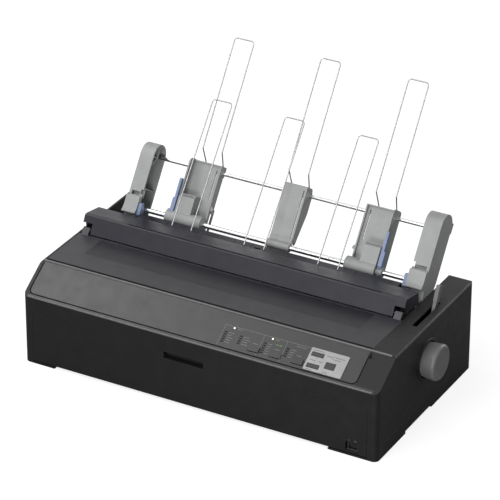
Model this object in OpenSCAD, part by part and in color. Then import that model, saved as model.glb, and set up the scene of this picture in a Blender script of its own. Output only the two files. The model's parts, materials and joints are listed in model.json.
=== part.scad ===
// Wide-carriage dot matrix printer with an upright paper guide.
// Millimetres, +Z up. X runs across the paper, Y from the front to the back.
// The origin is the middle of the whole printer's footprint, on the floor.

/* [Case] */
// Width of the case without the platen knob
body_w = 614; // [600:1:630]
// Depth of the case
body_d = 322; // [318:1:335]
// Height of the flat deck above the floor
deck_h = 153; // [151:0.5:156]
// Height where the control slope starts
front_h = 116.5; // [113:0.5:120]
// Depth of the control slope
slope_d = 58; // [56:0.5:60]
// Thickness of the case walls
case_wall = 3; // [2:0.5:4]
// Radius of the upright corners
corner_r = 9; // [6:1:14]
// Radius of the long deck edges
deck_edge_r = 5; // [4:1:8]
// Height of the seam between the lower and the upper case
split_h = 24; // [23.8:0.1:28]
// Gap under the case between the corner skirts
foot_gap = 5; // [4:0.5:6]
// Thickness of the lower case's floor
floor_t = 3; // [2:0.5:4]
// Width of the rail left of the covers
left_rail = 6; // [5:0.5:8]
// Width of the fixed deck right of the covers
right_deck = 41; // [39:0.5:44]
// Height of the rear wall between the side walls
rear_wall_h = 112; // [108:1:114]
// Joint gap round covers and panels
seam = 0.4; // [0.3:0.1:0.6]

/* [Front cover] */
// Distance of the front cover from the case's sides
front_cover_inset = 16; // [14:1:20]
// Height of the front cover's top edge
front_cover_top = 91; // [85:1:95]
// Thickness of the front cover
front_cover_t = 3; // [2.5:0.5:3.5]
// Radius of the front cover's upper corners
front_cover_r = 9; // [6:1:12]
// Left end of the finger recess, from the middle of the case
recess_x = -56.5; // [-70:0.5:-40]
// Width of the finger recess
recess_w = 69; // [50:1:90]
// Height of the finger recess
recess_h = 13; // [10:1:16]
// Depth of the finger recess
recess_d = 14; // [10:1:18]
// Radius of the front cover's hinge pins
front_pin_r = 1.6; // [1.2:0.1:1.8]

/* [Printer cover] */
// Thickness of the printer cover and the hood
cover_t = 2.6; // [2:0.2:3]
// Distance of the smoked window from the right edge of the cover
window_right = 44; // [35:1:60]
// Depth of the smoked window
window_d = 50; // [40:1:52]
// Distance of the window from the left edge of the cover
window_x = 43; // [35:1:50]
// Distance of the window from the rear edge of the cover
window_back = 3.5; // [3:0.5:6]
// Radius of the cover's hinge pins
cover_pin_r = 2; // [1.5:0.1:2.4]

/* [Hood] */
// Height of the hood's ridge
ridge_h = 180; // [176:1:184]
// Depth from the hood's foot to its ridge
ridge_d = 14; // [12:1:16]
// Depth of the hood from its foot to its rear edge
hood_d = 55; // [52:1:58]
// Height of the hood's rear edge
hood_back_h = 173.5; // [171:0.5:175]
// Depth of the exit panel behind the hood
exit_d = 17; // [16:0.5:17.2]
// Spacing of the joints across the exit panel
exit_pitch = 30; // [25:1:40]

/* [Controls] */
// Width of a small button
small_btn_w = 18; // [15:1:19]
// Depth of a button, up the slope
btn_h = 9; // [7:0.5:10]
// Width of a wide button
wide_btn_w = 20; // [17:1:21]
// Depth of a wide button, up the slope
wide_btn_h = 6.5; // [5:0.5:8]
// Running gap round the buttons
btn_gap = 0.4; // [0.3:0.1:0.6]
// How far the buttons stand proud
btn_proud = 1.4; // [1:0.1:2]
// Travel of the buttons
btn_travel = 1; // [0.6:0.1:1.2]
// Width of the light button plate
plate_w = 63; // [60:0.5:64]
// Depth of the light button plate, up the slope
plate_h = 38; // [36:0.5:40]
// Thickness of the light button plate
plate_t = 0.8; // [0.5:0.1:1]

/* [Platen] */
// Height of the platen's axis
platen_h = 95; // [93:0.5:96]
// Distance of the platen's axis behind the hood's foot
platen_back = 3.5; // [2:0.5:5]
// Radius of the rubber roller
platen_r = 19; // [17:0.5:20]
// Gap between the roller and each side frame
platen_inset = 9; // [7:0.5:20]
// Radius of the platen's shaft
platen_shaft_r = 6; // [5:0.5:7]
// Radius of the knob
knob_r = 29; // [26:0.5:30]
// How far the knob stands out of the case
knob_out = 25; // [20:1:28]
// Module of the feed gears
gear_module = 1; // [1:0.05:1.05]
// Teeth of the platen gear
platen_teeth = 84; // [80:4:84]
// Teeth of the motor pinion
pinion_teeth = 14; // [14:2:16]
// Width of the feed gears
gear_w = 8; // [6:1:9]

/* [Carriage] */
// Radius of the guide rod
rod_r = 6; // [5:0.5:7]
// Height of the guide rod's axis
rod_h = 72; // [71.5:0.1:73]
// Distance of the guide rod in front of the platen's axis
rod_ahead = 51; // [50:0.5:52]
// Width of the carriage
carriage_w = 54; // [48:1:58]
// Radius of the belt pulleys
pulley_r = 7; // [6:0.5:8]
// Distance of each pulley from its side frame
pulley_inset = 21; // [20:1:26]
// Width of the drive belt
belt_w = 6; // [4:0.5:7]
// Thickness of the drive belt
belt_t = 1.4; // [1:0.1:1.6]

/* [Paper guide] */
// How far the paper guide leans back, in degrees
lean = 35; // [32:1:37]
// Length of the guide arms above the lower shaft
arm_len = 107; // [100:1:112]
// Height of the right arm along its lean
right_arm_len = 112; // [104:1:115]
// Depth of the guide arms
arm_d = 42; // [40:1:44]
// Width of the left arm
left_arm_w = 24; // [20:1:26]
// Width of the right arm
right_arm_w = 28.5; // [26:0.5:30]
// Wall of the guide arms
arm_wall = 2.6; // [2:0.2:3]
// Radius of the lower shaft
low_shaft_r = 4; // [3.5:0.1:4.4]
// Radius of the upper shaft
top_shaft_r = 3; // [2.5:0.1:3.4]
// Length of the sheet guides above the lower shaft
guide_len = 99; // [94:1:101]
// Width of the edge guides
edge_guide_w = 52; // [46:1:54]
// Width of the centre support
centre_w = 39; // [34:1:44]
// Depth of the sheet guides' side walls
guide_d = 27; // [25:0.5:28]
// Radius of the housing round the lower shaft
housing_r = 12.5; // [11:0.5:13]
// Wall of the sheet guides
guide_wall = 2.4; // [2:0.2:3]
// Distance of the left edge guide's middle from the left arm
left_guide_gap = 83.5; // [80:0.5:88]
// Place of the centre support
centre_x = 7.5; // [0:0.5:10]
// Distance of the lower shaft from the back of the case
shaft_from_back = 75.5; // [74:0.5:78]
// Distance of the right edge guide's middle from the right arm
right_guide_gap = 83.5; // [80:0.5:88]

/* [Wires] */
// Thickness of the wire loops
wire_d = 2; // [1.6:0.1:2.4]
// Width of a wire loop, middle to middle
wire_w = 34.5; // [30:0.5:35]
// Corner radius of a wire loop
wire_corner = 5; // [3:0.5:7]
// Height of a front wire along its lean
front_wire_len = 210; // [180:5:230]
// How far the front wires lean back, in degrees
front_wire_lean = 39; // [37:0.5:39.5]
// Spacing of the front wires
front_wire_pitch = 129; // [120:1:132]
// Height of a rear wire above the sheet guides
rear_wire_len = 200; // [170:5:220]

/* [Fits] */
// Running gap of a shaft in its bore
fit = 0.05; // [0.03:0.01:0.08]
// Gap between moving pieces that do not touch
clear = 0.4; // [0.3:0.05:0.5]

/* [Hidden] */
$fn = 48;
eps = 0.01;

// Colours
c_case = "#2b2b2c";
c_panel = "#3a3a3b";
c_cover = "#3c3b41";
c_guide = "#9b9d9c";
c_blue = "#75819a";
c_steel = "#b9bbbd";
c_plate = "#a9abaa";
c_rubber = "#1c1c1c";
c_board = "#2f5a3a";

// Case
x_left = -body_w / 2;
x_right = body_w / 2;
bay_l = x_left + left_rail;
bay_r = x_right - right_deck;
slope_a = atan((deck_h - front_h) / slope_d);
slope_len = norm([deck_h - front_h, slope_d]);
panel_y0 = 7.2;
front_l = x_left + front_cover_inset;
front_r = x_right - front_cover_inset - 1;
front_gap = 10;
floor_top = foot_gap + floor_t;
skirt_w = 10;
skirt_lift = 0.6;
skirt_front_l = 54;
skirt_front_r = 82;
skirt_side_f = 95;
skirt_side_b = 139;
foot_r = 9;
foot_in = 32;

// Depths, from the paper guide's lower shaft forward
low_shaft = [body_d - shaft_from_back, 170.5];
cover_y0 = slope_d + 2;
exit_y1 = low_shaft[0] - 15;
hood_y1 = exit_y1 - exit_d;
hood_y0 = hood_y1 - hood_d;
cover_y1 = hood_y0 - 1;
ridge_y = hood_y0 + ridge_d;
platen_y = hood_y0 + platen_back;
rod_y = platen_y - rod_ahead;

// Chassis
base_z = 12;
sheet = 2;
base_top = base_z + sheet;
base_edge = 9;
frame_x = bay_r - 35;
frame_out = frame_x + sheet;
frame_top = 150;
frame_front = 16;
frame_back = body_d - 60;
base_boss_x = [x_left + 27, -frame_x / 2, frame_x / 2, x_right - 27];
base_boss_y = [40, platen_y + 2, body_d - 42];
boss_r = 5;

// Covers
hood_foot_h = deck_h + 1;
exit_w = 2 * (frame_x - 3);
exit_h = hood_back_h - 1;
exit_t = 2.5;
hood_l = bay_l + 2;
hood_r = bay_r - 1;
notch_w = 17;
notch_h = 15;
notch_d = 16;
cover_axis = [hood_y0 + 6.5, deck_h + 5];
cover_boss_r = 4;
cover_ears = [[hood_l + 2, hood_l + notch_w - 3], [hood_r - notch_w + 3, hood_r - 2]];
wire_foot_y = hood_y1 + 5.5;
cover_z0 = deck_h - cover_t;
window_x0 = bay_l + window_x;
window_x1 = bay_r - window_right;
window_y1 = cover_y1 - window_back;

// Front cover hinge
front_axis = [3.8, 9];
front_ribs = (front_r - front_l) / 7.2;
front_split = front_r - 44;

// Power switch
switch_x = front_r - 24.5;
switch_w = 19;
switch_z0 = 9.4;
switch_z1 = 22.2;
switch_y = front_cover_t + 0.5;
switch_axis_y = switch_y + 3.7;
window_gap = 1.6;

// Controls, on the slope: [x, distance up the slope]
small_btn_y = 18.2;
small_btns = [bay_r - 175.5, bay_r - 138.5, bay_r - 101.5];
plate_x = bay_r - 89;
plate_y = 9.5;
wide_btns = [[bay_r - 75.5, 37.4], [bay_r - 75.5, 17.6]];
square_btn = [bay_r - 49.5, 24.5];
btn_flange = 2;
board_drop = 10.5;
board_t = 1.6;
board_x = [bay_r - 240, bay_r - 18];
post_x = [bay_r - 232, bay_r - 157, bay_r - 120, bay_r - 26];
// Indicators: columns as [x, lowest, how many], a pair and two round ones
led_w = 4.6;
led_h = 1.9;
led_r = 1.3;
led_gap = 0.1;
led_pitch = 4.15;
led_cols = [[bay_r - 229.6, 17.3, 5], [bay_r - 203.2, 20.8, 4], [bay_r - 162.4, 16.5, 5],
    [bay_r - 124.3, 21.7, 4]];
led_pair = [bay_r - 142.9, bay_r - 137.1];
led_pair_y = 35.2;
led_round = [bay_r - 219.5, bay_r - 154.2];
led_round_y = 43;
post_r = 3;

// Platen drive
platen_len = 2 * (frame_x - platen_inset);
pitch_r1 = gear_module * platen_teeth / 2;
pitch_r2 = gear_module * pinion_teeth / 2;
feed_a = -35;
feed_axis = [platen_y, platen_h] + (pitch_r1 + pitch_r2) * [cos(feed_a), sin(feed_a)];
gear_x = frame_out + 5;
motor_r = 17;
motor_len = 26;
motor_shaft_r = 2.5;
bearing_r = 11;
knob_hole_r = knob_r + 2.5;
knob_in = 5;

// Carriage drive
belt_y = rod_y - 19;
pulley_x = frame_x - pulley_inset;
pulley_z = 40;
bracket_y = belt_y - 1 - sheet;
carriage_z = 61.6;
carriage_top = 90;
carriage_front = rod_y - 34;
rail_z = 58;
rail_y = rod_y - 44;
cartridge_y = [rod_y - 48, rod_y - 22];
cartridge_z = [104, 118];
ribbon_y = platen_y - platen_r - 3.4;

// Levers
lever_x = x_right - 18;
lever_w = 5;
lever_axis = [platen_y + 27, 85];
lever_lean = 26;
lever_len = 107;
lever_slot = [lever_axis[0] - 38, lever_axis[0] + 44];
stud_r = 4;
bracket_x = x_right - 11;
gap_lever_axis = [rod_y + 6, 52];

// Boards and their sockets: [left, right, bottom, top]
board_y = [body_d - 107, body_d - 22];
board_z = base_top + 6;
main_board_x = [frame_x - 169, frame_x - 13];
power_board_x = [-frame_x + 8, -frame_x + 161];
socket_z = board_z + board_t;
socket_depth = 30;
sockets = [
    [power_board_x[0] + 23, power_board_x[0] + 51, socket_z, socket_z + 24],
    [main_board_x[0] + 68, main_board_x[0] + 128, socket_z, socket_z + 14],
    [main_board_x[0] + 28, main_board_x[0] + 42, socket_z, socket_z + 12]
];

// Paper guide frame: its places in the leaning frame are [back, up]
top_shaft = [18, 87];
arm_front = -14;
guide_pivot = [8, -20];
pivot_r = 4;
arm_x0 = -frame_out - 5 - left_arm_w;
arm_x1 = frame_out + 4 + right_arm_w;
left_guide_x = arm_x0 + left_arm_w + left_guide_gap;
right_guide_x = arm_x1 - right_arm_w - right_guide_gap;
arm_foot_r = 15;
plate_y0 = 1;
latch_axis = [-9.5, -6];
latch_w = 6;
latch_pin_r = 1.5;
face_y = 12;
face_t = guide_wall;
hub_w = 7.2;
hub_x = edge_guide_w / 2;
neck_r = 7;
hub_r = 9.5;
housing_l = 37.5;
left_wire_shift = 8.5;
right_wire_shift = 6;
seat_w = wire_w - 4.5;
wire_seat = [20.5, guide_len - 4];
wire_bend = [-4.5, guide_len + 18.5];

// Place of a point of the leaning frame in the upright frame, as [y, z]
function leaned(p) = low_shaft + [p[0] * cos(lean) + p[1] * sin(lean), -p[0] * sin(lean) + p[1] * cos(lean)];

// The whole printer's box, for the origin
reach_r = x_right + knob_out;
reach_b = leaned([wire_bend[0], guide_len + rear_wire_len])[0] + wire_d / 2;
mid_x = (x_left + reach_r) / 2;
mid_y = reach_b / 2;

// ---------- shared shapes ----------

// Corner q of an outline rounded between its neighbours p and s
function corner(p, q, s, r, n = 6) =
    let (u = (p - q) / norm(p - q), v = (s - q) / norm(s - q))
    let (h = acos(u * v) / 2, c = q + (u + v) / norm(u + v) * r / sin(h))
    let (a = q + u * r / tan(h) - c, b = q + v * r / tan(h) - c)
    let (a0 = atan2(a[1], a[0]), turn = (atan2(b[1], b[0]) - a0 + 540) % 360 - 180)
    [for (i = [0:n]) c + r * [cos(a0 + turn * i / n), sin(a0 + turn * i / n)]];

// Outline with a radius for each corner
function rounded(pts, radii) =
    let (n = len(pts))
    [for (i = [0:n - 1])
        each (radii[i] > 0
            ? corner(pts[(i + n - 1) % n], pts[i], pts[(i + 1) % n], radii[i])
            : [pts[i]])];

// Rectangle with rounded corners
function round_rect(x0, y0, x1, y1, r) =
    rounded([[x0, y0], [x1, y0], [x1, y1], [x0, y1]], [r, r, r, r]);

// Toothed wheel: teeth as trapezoids with a gap at the pitch circle
function gear_outline(teeth, m, turn = 0) =
    let (r = m * teeth / 2, p = 360 / teeth)
    [for (i = [0:teeth - 1], k = [[-0.27, -1.1], [-0.09, 0.8], [0.09, 0.8], [0.27, -1.1]])
        let (a = turn + (i + k[0]) * p)
        (r + k[1] * m) * [cos(a), sin(a)]];

// Puts the printer's own frame onto the origin
module placed() translate([-mid_x, -mid_y, 0]) children();

// Box from its two corners
module box(a, b) translate(a) cube(b - a);

// Solid across the printer from an outline given as [y, z]
module across(x0, x1, pts) translate([x0, 0, 0]) rotate([90, 0, 90]) linear_extrude(x1 - x0) polygon(pts);

// Solid along Y from an outline given as [x, z]
module along(y0, y1, pts) translate([0, y1, 0]) rotate([90, 0, 0]) linear_extrude(y1 - y0) polygon(pts);

// Round bar across the printer at [y, z]
module bar_x(x0, x1, r, at) translate([x0, at[0], at[1]]) rotate([0, 90, 0]) cylinder(h = x1 - x0, r = r);

// Round bar along Y at [x, z]
module bar_y(y0, y1, r, at) translate([at[0], y1, at[1]]) rotate([90, 0, 0]) cylinder(h = y1 - y0, r = r);

// Places its children on the control slope, Z square to it
module on_slope() translate([0, 0, front_h]) rotate([slope_a, 0, 0]) children();

// Places its children in the leaning frame of the paper guide
module leaning() translate([0, low_shaft[0], low_shaft[1]]) rotate([-lean, 0, 0]) children();

// Top of a wire loop: two quarter bends and the bar between them
module loop_top() {
    span = wire_w / 2 - wire_corner;
    for (s = [0, 1])
        translate([s > 0 ? span : -span, 0, 0]) rotate([90, 0, 0])
            rotate_extrude(angle = 90, start = 90 - s * 90, $fn = 72)
            translate([wire_corner, 0]) circle(r = wire_d / 2, $fn = 24);
    translate([-span, 0, wire_corner]) rotate([0, 90, 0]) cylinder(h = 2 * span, r = wire_d / 2, $fn = 24);
}

// ---------- case ----------

// Side outline of the case, drawn in by an inset
function side_outline(i) =
    let (k = tan(slope_a), z1 = front_h + i * k - i / cos(slope_a))
    let (y2 = (deck_h - i - front_h + i / cos(slope_a)) / k)
    rounded([[i, -eps], [i, z1], [y2, deck_h - i], [body_d - i, deck_h - i], [body_d - i, -eps]],
        [0, 2, 1.5, deck_edge_r - i / 2, 0]);

// The case's whole volume, drawn in by an inset
module case_solid(i) {
    er = deck_edge_r - i / 2;
    intersection() {
        across(x_left, x_right, side_outline(i));
        along(-1, body_d + 1, rounded([[x_left + i, -1], [x_left + i, deck_h - i],
            [x_right - i, deck_h - i], [x_right - i, -1]],
            [0, er, er, 0]));
        translate([0, 0, -1]) linear_extrude(deck_h + 2)
            polygon(round_rect(x_left + i, i, x_right - i, body_d - i, corner_r - i / 2));
    }
}

module lower_case() color(c_case) placed() {
    difference() {
        intersection() {
            case_solid(0);
            union() {
                box([x_left, 0, foot_gap], [x_right, body_d, split_h]);
                skirts();
            }
        }
        // inside
        intersection() {
            case_solid(case_wall);
            box([x_left, front_gap + case_wall, floor_top], [x_right, body_d, split_h + 1]);
        }
        // room for the front cover and its hinge
        box([front_l, -1, foot_gap - 1.6], [front_r, front_gap, split_h + 1]);
        rear_sockets();
        // window of the power switch
        box([switch_x - switch_w / 2, front_gap - 1, switch_z0],
            [switch_x + switch_w / 2, front_gap + case_wall + 1, switch_z1]);
        // vents in the floor
        for (i = [-6:6], s = [0, 1])
            box([i * body_w / 19 - 9, 60 + s * 70, foot_gap - 1],
                [i * body_w / 19 + 9, 64 + s * 70, floor_top + 1]);
    }
    // bosses under the chassis
    for (x = base_boss_x, y = base_boss_y)
        translate([x, y, floor_top - eps]) cylinder(h = base_z - floor_top + eps, r = boss_r);
    // seat of the power switch
    box([switch_x - switch_w / 2, front_gap, floor_top - eps],
        [switch_x + switch_w / 2, front_gap + 22, switch_z0]);
}

// Skirts that carry the corners down to the floor
module skirts()
    intersection() {
        difference() {
            box([x_left, 0, skirt_lift], [x_right, body_d, foot_gap + eps]);
            box([x_left + skirt_w, skirt_w, 0], [x_right - skirt_w, body_d - skirt_w, foot_gap + 1]);
        }
        union() {
            box([x_left, 0, 0], [x_left + skirt_front_l, skirt_side_f, foot_gap + 1]);
            box([x_right - skirt_front_r, 0, 0], [x_right, skirt_side_f, foot_gap + 1]);
            box([x_left, body_d - skirt_side_b, 0], [x_left + skirt_front_l, body_d, foot_gap + 1]);
            box([x_right - skirt_front_r, body_d - skirt_side_b, 0], [x_right, body_d, foot_gap + 1]);
        }
    }

// Holes in the rear wall for the sockets on the boards
module rear_sockets() {
    for (s = sockets)
        box([s[0] - seam, body_d - case_wall - 1, s[2] - seam], [s[1] + seam, body_d + 1, s[3] + seam]);
}
module upper_case() color(c_case) placed() {
    difference() {
        intersection() {
            case_solid(0);
            box([x_left, 0, split_h], [x_right, body_d, deck_h + 1]);
        }
        // inside, leaving the thick rail and the wall under the right deck
        difference() {
            case_solid(case_wall);
            box([x_left, slope_d + 4, deck_h - 22], [bay_l, body_d, deck_h]);
            box([bay_r, slope_d + 4, platen_h + 10], [bay_r + case_wall, body_d, deck_h]);
        }
        // bay for the control panel, the covers and the hood
        on_slope() box([bay_l, panel_y0, -case_wall - 0.5], [bay_r, slope_len + 10, 20]);
        box([bay_l, slope_d, rear_wall_h], [bay_r, body_d + 1, deck_h + 1]);
        // opening behind the front cover
        along(-1, case_wall + 1, rounded([
            [front_l, split_h - 1], [front_r, split_h - 1], [front_r, front_cover_top],
                [front_l, front_cover_top]
        ], [0, 0, front_cover_r, front_cover_r]));
        rear_sockets();
        // platen knob, paper release lever
        bar_x(x_right - case_wall - 1, x_right + 2, knob_hole_r, [platen_y, platen_h]);
        box([lever_x - lever_w / 2 - 1.5, lever_slot[0], deck_h - case_wall - 1],
            [lever_x + lever_w / 2 + 1.5, lever_slot[1], deck_h + 1]);
        // vents in the left side
        for (i = [0:8])
            box([x_left - 1, body_d - 82 + i * 8, 40], [x_left + 4.5, body_d - 79 + i * 8, 78]);
    }
    // raised bead along the top of the slope, right of the panel
    bar_x(bay_r, x_right - deck_edge_r, 1.4, [slope_d - 0.5, deck_h - 0.3]);
    // rim round the knob's hole
    difference() {
        bar_x(x_right - eps, x_right + 1, knob_hole_r + 2, [platen_y, platen_h]);
        bar_x(x_right - 1, x_right + 2, knob_hole_r, [platen_y, platen_h]);
    }
    // seats of the control panel
    on_slope() {
        box([x_left + case_wall - 1, panel_y0 + 3, -case_wall - 2], [bay_l + 4, slope_len - 8, -case_wall]);
        box([bay_r - 4, panel_y0 + 3, -case_wall - 2], [bay_r + 5, slope_len - 8, -case_wall]);
    }
    box([bay_r, slope_d - 12, front_h - 2], [bay_r + case_wall, slope_d + 5, deck_h - case_wall + eps]);
    // seats of the printer cover
    box([x_left + case_wall - 1, cover_y0 + 10, deck_h - 12], [bay_l + 9, cover_y1 - 14, cover_z0 - 5]);
    box([bay_r - 10, cover_y0 + 10, deck_h - 12], [bay_r + 1, cover_y1 - 14, cover_z0 - 5]);
}

module rubber_feet() color(c_rubber) placed()
    for (x = [x_left + foot_in, x_right - foot_in], y = [foot_in, body_d - foot_in])
        translate([x, y, 0]) cylinder(h = foot_gap, r = foot_r);

// ---------- control panel ----------

module control_panel() color(c_panel) placed() {
    on_slope() difference() {
        union() {
            box([bay_l + seam, panel_y0 + seam, -case_wall], [bay_r - seam, slope_len - 1, 0]);
            // posts that carry the board
            for (x = post_x, y = [13, 51])
                translate([x, y, -board_drop]) cylinder(h = board_drop - case_wall + eps, r = post_r);
        }
        for (x = small_btns) btn_hole(x, small_btn_y, small_btn_w, btn_h);
        for (p = wide_btns) btn_hole(p[0], p[1], wide_btn_w, wide_btn_h);
        btn_hole(square_btn[0], square_btn[1], small_btn_w - 2, btn_h + 1.5);
        translate([0, 0, -case_wall - 1]) linear_extrude(case_wall + 2) led_plan(led_gap);
    }
    // raised bead and back wall along the top of the slope
    bar_x(bay_l + seam, bay_r - seam, 1.4, [slope_d - 0.5, deck_h - 0.3]);
    across(bay_l + seam, bay_r - seam, [
        [slope_d - 2.4, deck_h - 10], [slope_d, deck_h - 10], [slope_d, deck_h - 0.3],
            [slope_d - 2.4, deck_h - 1.8]
    ]);
}

module btn_hole(x, y, w, h)
    box([x - w / 2 - btn_gap, y - h / 2 - btn_gap, -case_wall - 1],
        [x + w / 2 + btn_gap, y + h / 2 + btn_gap, plate_t + 1]);

// Push button: cap, flange under the panel and stem down to the board
module button(x, y, w, h) color(c_rubber) placed() on_slope() {
    r = 1;
    translate([0, 0, -case_wall - clear - eps]) linear_extrude(case_wall + clear + btn_proud + eps)
        polygon(round_rect(x - w / 2, y - h / 2, x + w / 2, y + h / 2, r));
    box([x - w / 2 - btn_flange, y - h / 2 - btn_flange, -case_wall - clear - 1.4],
        [x + w / 2 + btn_flange, y + h / 2 + btn_flange, -case_wall - clear]);
    translate([x, y, -board_drop + btn_travel + clear])
        cylinder(h = board_drop - btn_travel - clear - case_wall - clear - 1, r = 2);
}

module button_plate() color(c_plate) placed() on_slope() difference() {
    linear_extrude(plate_t)
        polygon(round_rect(plate_x, plate_y, plate_x + plate_w, plate_y + plate_h, 1.5));
    for (p = wide_btns) btn_hole(p[0], p[1], wide_btn_w, wide_btn_h);
    btn_hole(square_btn[0], square_btn[1], small_btn_w - 2, btn_h + 1.5);
}

module panel_board() color(c_board) placed() on_slope() {
    box([board_x[0], 9, -board_drop - board_t], [board_x[1], 56, -board_drop]);
}

// Plan of the indicators, grown by g
module led_plan(g) {
    for (c = led_cols, i = [0:c[2] - 1])
        led_pill(c[0], c[1] + i * led_pitch, g);
    for (x = led_pair)
        led_pill(x, led_pair_y, g);
    for (x = led_round)
        translate([x, led_round_y]) circle(r = led_r + g, $fn = 24);
}

module led_pill(x, y, g)
    polygon(round_rect(x - led_w / 2 - g, y - led_h / 2 - g, x + led_w / 2 + g, y + led_h / 2 + g, 0.8));

// Light guides: one comb behind each column, a short one for the pair and two round ones
module led_lenses() color("white") placed() on_slope() {
    translate([0, 0, -case_wall - 0.2]) linear_extrude(case_wall + 0.45) led_plan(0);
    for (c = led_cols)
        box([c[0] - 1.4, c[1] - 1, -case_wall - 1.8],
            [c[0] + 1.4, c[1] + (c[2] - 1) * led_pitch + 1, -case_wall]);
    box([led_pair[0] - 1, led_pair_y - 0.9, -case_wall - 1.8],
        [led_pair[1] + 1, led_pair_y + 0.9, -case_wall]);
    for (x = led_round)
        translate([x, led_round_y, -case_wall - 1.6]) cylinder(h = 1.6, r = led_r + 1, $fn = 24);
}

// ---------- covers and hood ----------

module printer_cover() color(c_cover) placed() difference() {
    union() {
        translate([0, 0, cover_z0]) linear_extrude(cover_t)
            polygon(round_rect(bay_l + seam, cover_y0, bay_r - seam, cover_y1, 1));
        // turned-down edges
        for (x = [bay_l + seam + 6, bay_r - seam - 8])
            box([x, cover_y0 + 2, cover_z0 - 5], [x + 2, cover_y1 - 8, cover_z0 + eps]);
        box([bay_l + seam + 6, cover_y0 + 2, cover_z0 - 5], [bay_r - seam - 6, cover_y0 + 4, cover_z0 + eps]);
        for (s = cover_ears) cover_ear(s[0], s[1]);
    }
    // seat of the window
    box([window_x0, window_y1 - window_d, cover_z0 - 10], [window_x1, window_y1, deck_h + 1]);
    for (s = cover_ears) bar_x(s[0] - 1, s[1] + 1, cover_pin_r + fit, cover_axis);
}

// Ear that reaches back to the cover's hinge pin
module cover_ear(x0, x1)
    across(x0, x1, concat(
        [[cover_y1 - 8, cover_z0 + 0.1], [cover_axis[0] + 1, cover_axis[1] - cover_boss_r]],
        [for (a = [-80:20:100]) cover_axis + cover_boss_r * [cos(a), sin(a)]],
        [[cover_y1 - 2, deck_h - 0.1]]
    ));

module cover_window() color("#242328", 0.7) placed()
    box([window_x0 + fit, window_y1 - window_d + fit, cover_z0 + 0.3],
        [window_x1 - fit, window_y1 - fit, deck_h - 0.1]);

// Hood outline, drawn in by an inset
function hood_outline(i) =
    rounded([
        [hood_y0 + i, hood_foot_h - (i > 0 ? 1 : 0)],
        [ridge_y + i * 0.75, ridge_h - i],
        [ridge_y + 6, ridge_h - i],
        [hood_y1 + (i > 0 ? 0 : eps), hood_back_h - i],
        [hood_y1 + (i > 0 ? 0 : eps), hood_foot_h - (i > 0 ? 1 : 0)]
    ], [0, 2, 3, 0, 0]);

module hood() color(c_cover) placed() difference() {
    union() {
        difference() {
            across(hood_l, hood_r, hood_outline(0));
            across(hood_l + cover_t, hood_r - cover_t, hood_outline(cover_t));
            // open back
            box([hood_l + cover_t, hood_y1 - 5, hood_foot_h - 1],
                [hood_r - cover_t, hood_y1 + 1, hood_back_h - 3.2]);
            // notches for the cover's ears
            box([hood_l - 1, hood_y0 - 1, hood_foot_h - 1],
                [hood_l + notch_w, hood_y0 + notch_d, hood_foot_h + notch_h]);
            box([hood_r - notch_w, hood_y0 - 1, hood_foot_h - 1],
                [hood_r + 1, hood_y0 + notch_d, hood_foot_h + notch_h]);
        }
        // walls inside: on the frames, and beside the notches
        for (x = [-frame_out - 0.5, frame_x - 0.5, hood_l + notch_w,
            hood_r - notch_w - cover_t]) intersection() {
            across(x, x + cover_t + 0.4, hood_outline(0));
            box([x - 1, hood_y0, 0], [x + 5, hood_y1 - 2, 300]);
        }
        for (x = [-frame_out - 0.5, frame_x - 0.5])
            box([x, ridge_y, frame_top], [x + cover_t + 0.4, hood_y1 - 2, ridge_h - 10]);
        // shelf under the exit panel
        box([-exit_w / 2, hood_y1 - 6, exit_h - exit_t - 2], [exit_w / 2, hood_y1 + 6, exit_h - exit_t]);
        box([-exit_w / 2, hood_y1 - 6, exit_h - exit_t - 2], [exit_w / 2, hood_y1, hood_back_h - 1]);
    }
    // paper slot behind the ridge
    box([-exit_w / 2 + 6, ridge_y + 2.2, ridge_h - 6], [exit_w / 2 - 6, ridge_y + 4.6, ridge_h + 2]);
    for (x = [hood_l + notch_w - 2, hood_r - notch_w - cover_t - 2]) bar_x(x, x + cover_t + 4,
        cover_pin_r, cover_axis);
}

module exit_panel() color(c_cover) placed() difference() {
    across(-exit_w / 2, exit_w / 2, rounded([
        [hood_y1 + seam, exit_h - exit_t], [hood_y1 + seam, exit_h], [exit_y1, exit_h],
        [exit_y1, exit_h - 22], [exit_y1 - 2, exit_h - 22], [exit_y1 - 2, exit_h - exit_t]
    ], [0, 0, 2, 0, 0, 0]));
    // joints across the panel
    for (x = [3.5 - 7 * exit_pitch:exit_pitch:exit_w / 2 - 10])
        box([x - 0.35, hood_y1 + 2, exit_h - 0.8], [x + 0.35, exit_y1 - 3, exit_h + 1]);
    for (x = front_wire_x, s = [-1, 1])
        translate([x + s * wire_w / 2, wire_foot_y, exit_h]) rotate([-front_wire_lean, 0, 0])
            cylinder(h = 12, r = wire_d / 2, center = true, $fn = 24);
    // finger hole
    translate([-15, wire_foot_y - 2, exit_h - 4]) linear_extrude(6)
        polygon(round_rect(-6, -2, 6, 2, 1.9));
}
front_wire_x = [for (k = [-1:1]) -22 + k * front_wire_pitch];

module front_wires() color(c_steel) placed()
    for (x = front_wire_x)
        translate([x, wire_foot_y, exit_h]) rotate([-front_wire_lean, 0, 0]) {
            translate([0, 0, front_wire_len - wire_corner]) loop_top();
            for (s = [-1, 1])
                translate([s * wire_w / 2, 0, -1.6])
                    cylinder(h = front_wire_len - wire_corner + 1.6, r = wire_d / 2, $fn = 24);
        }

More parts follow.
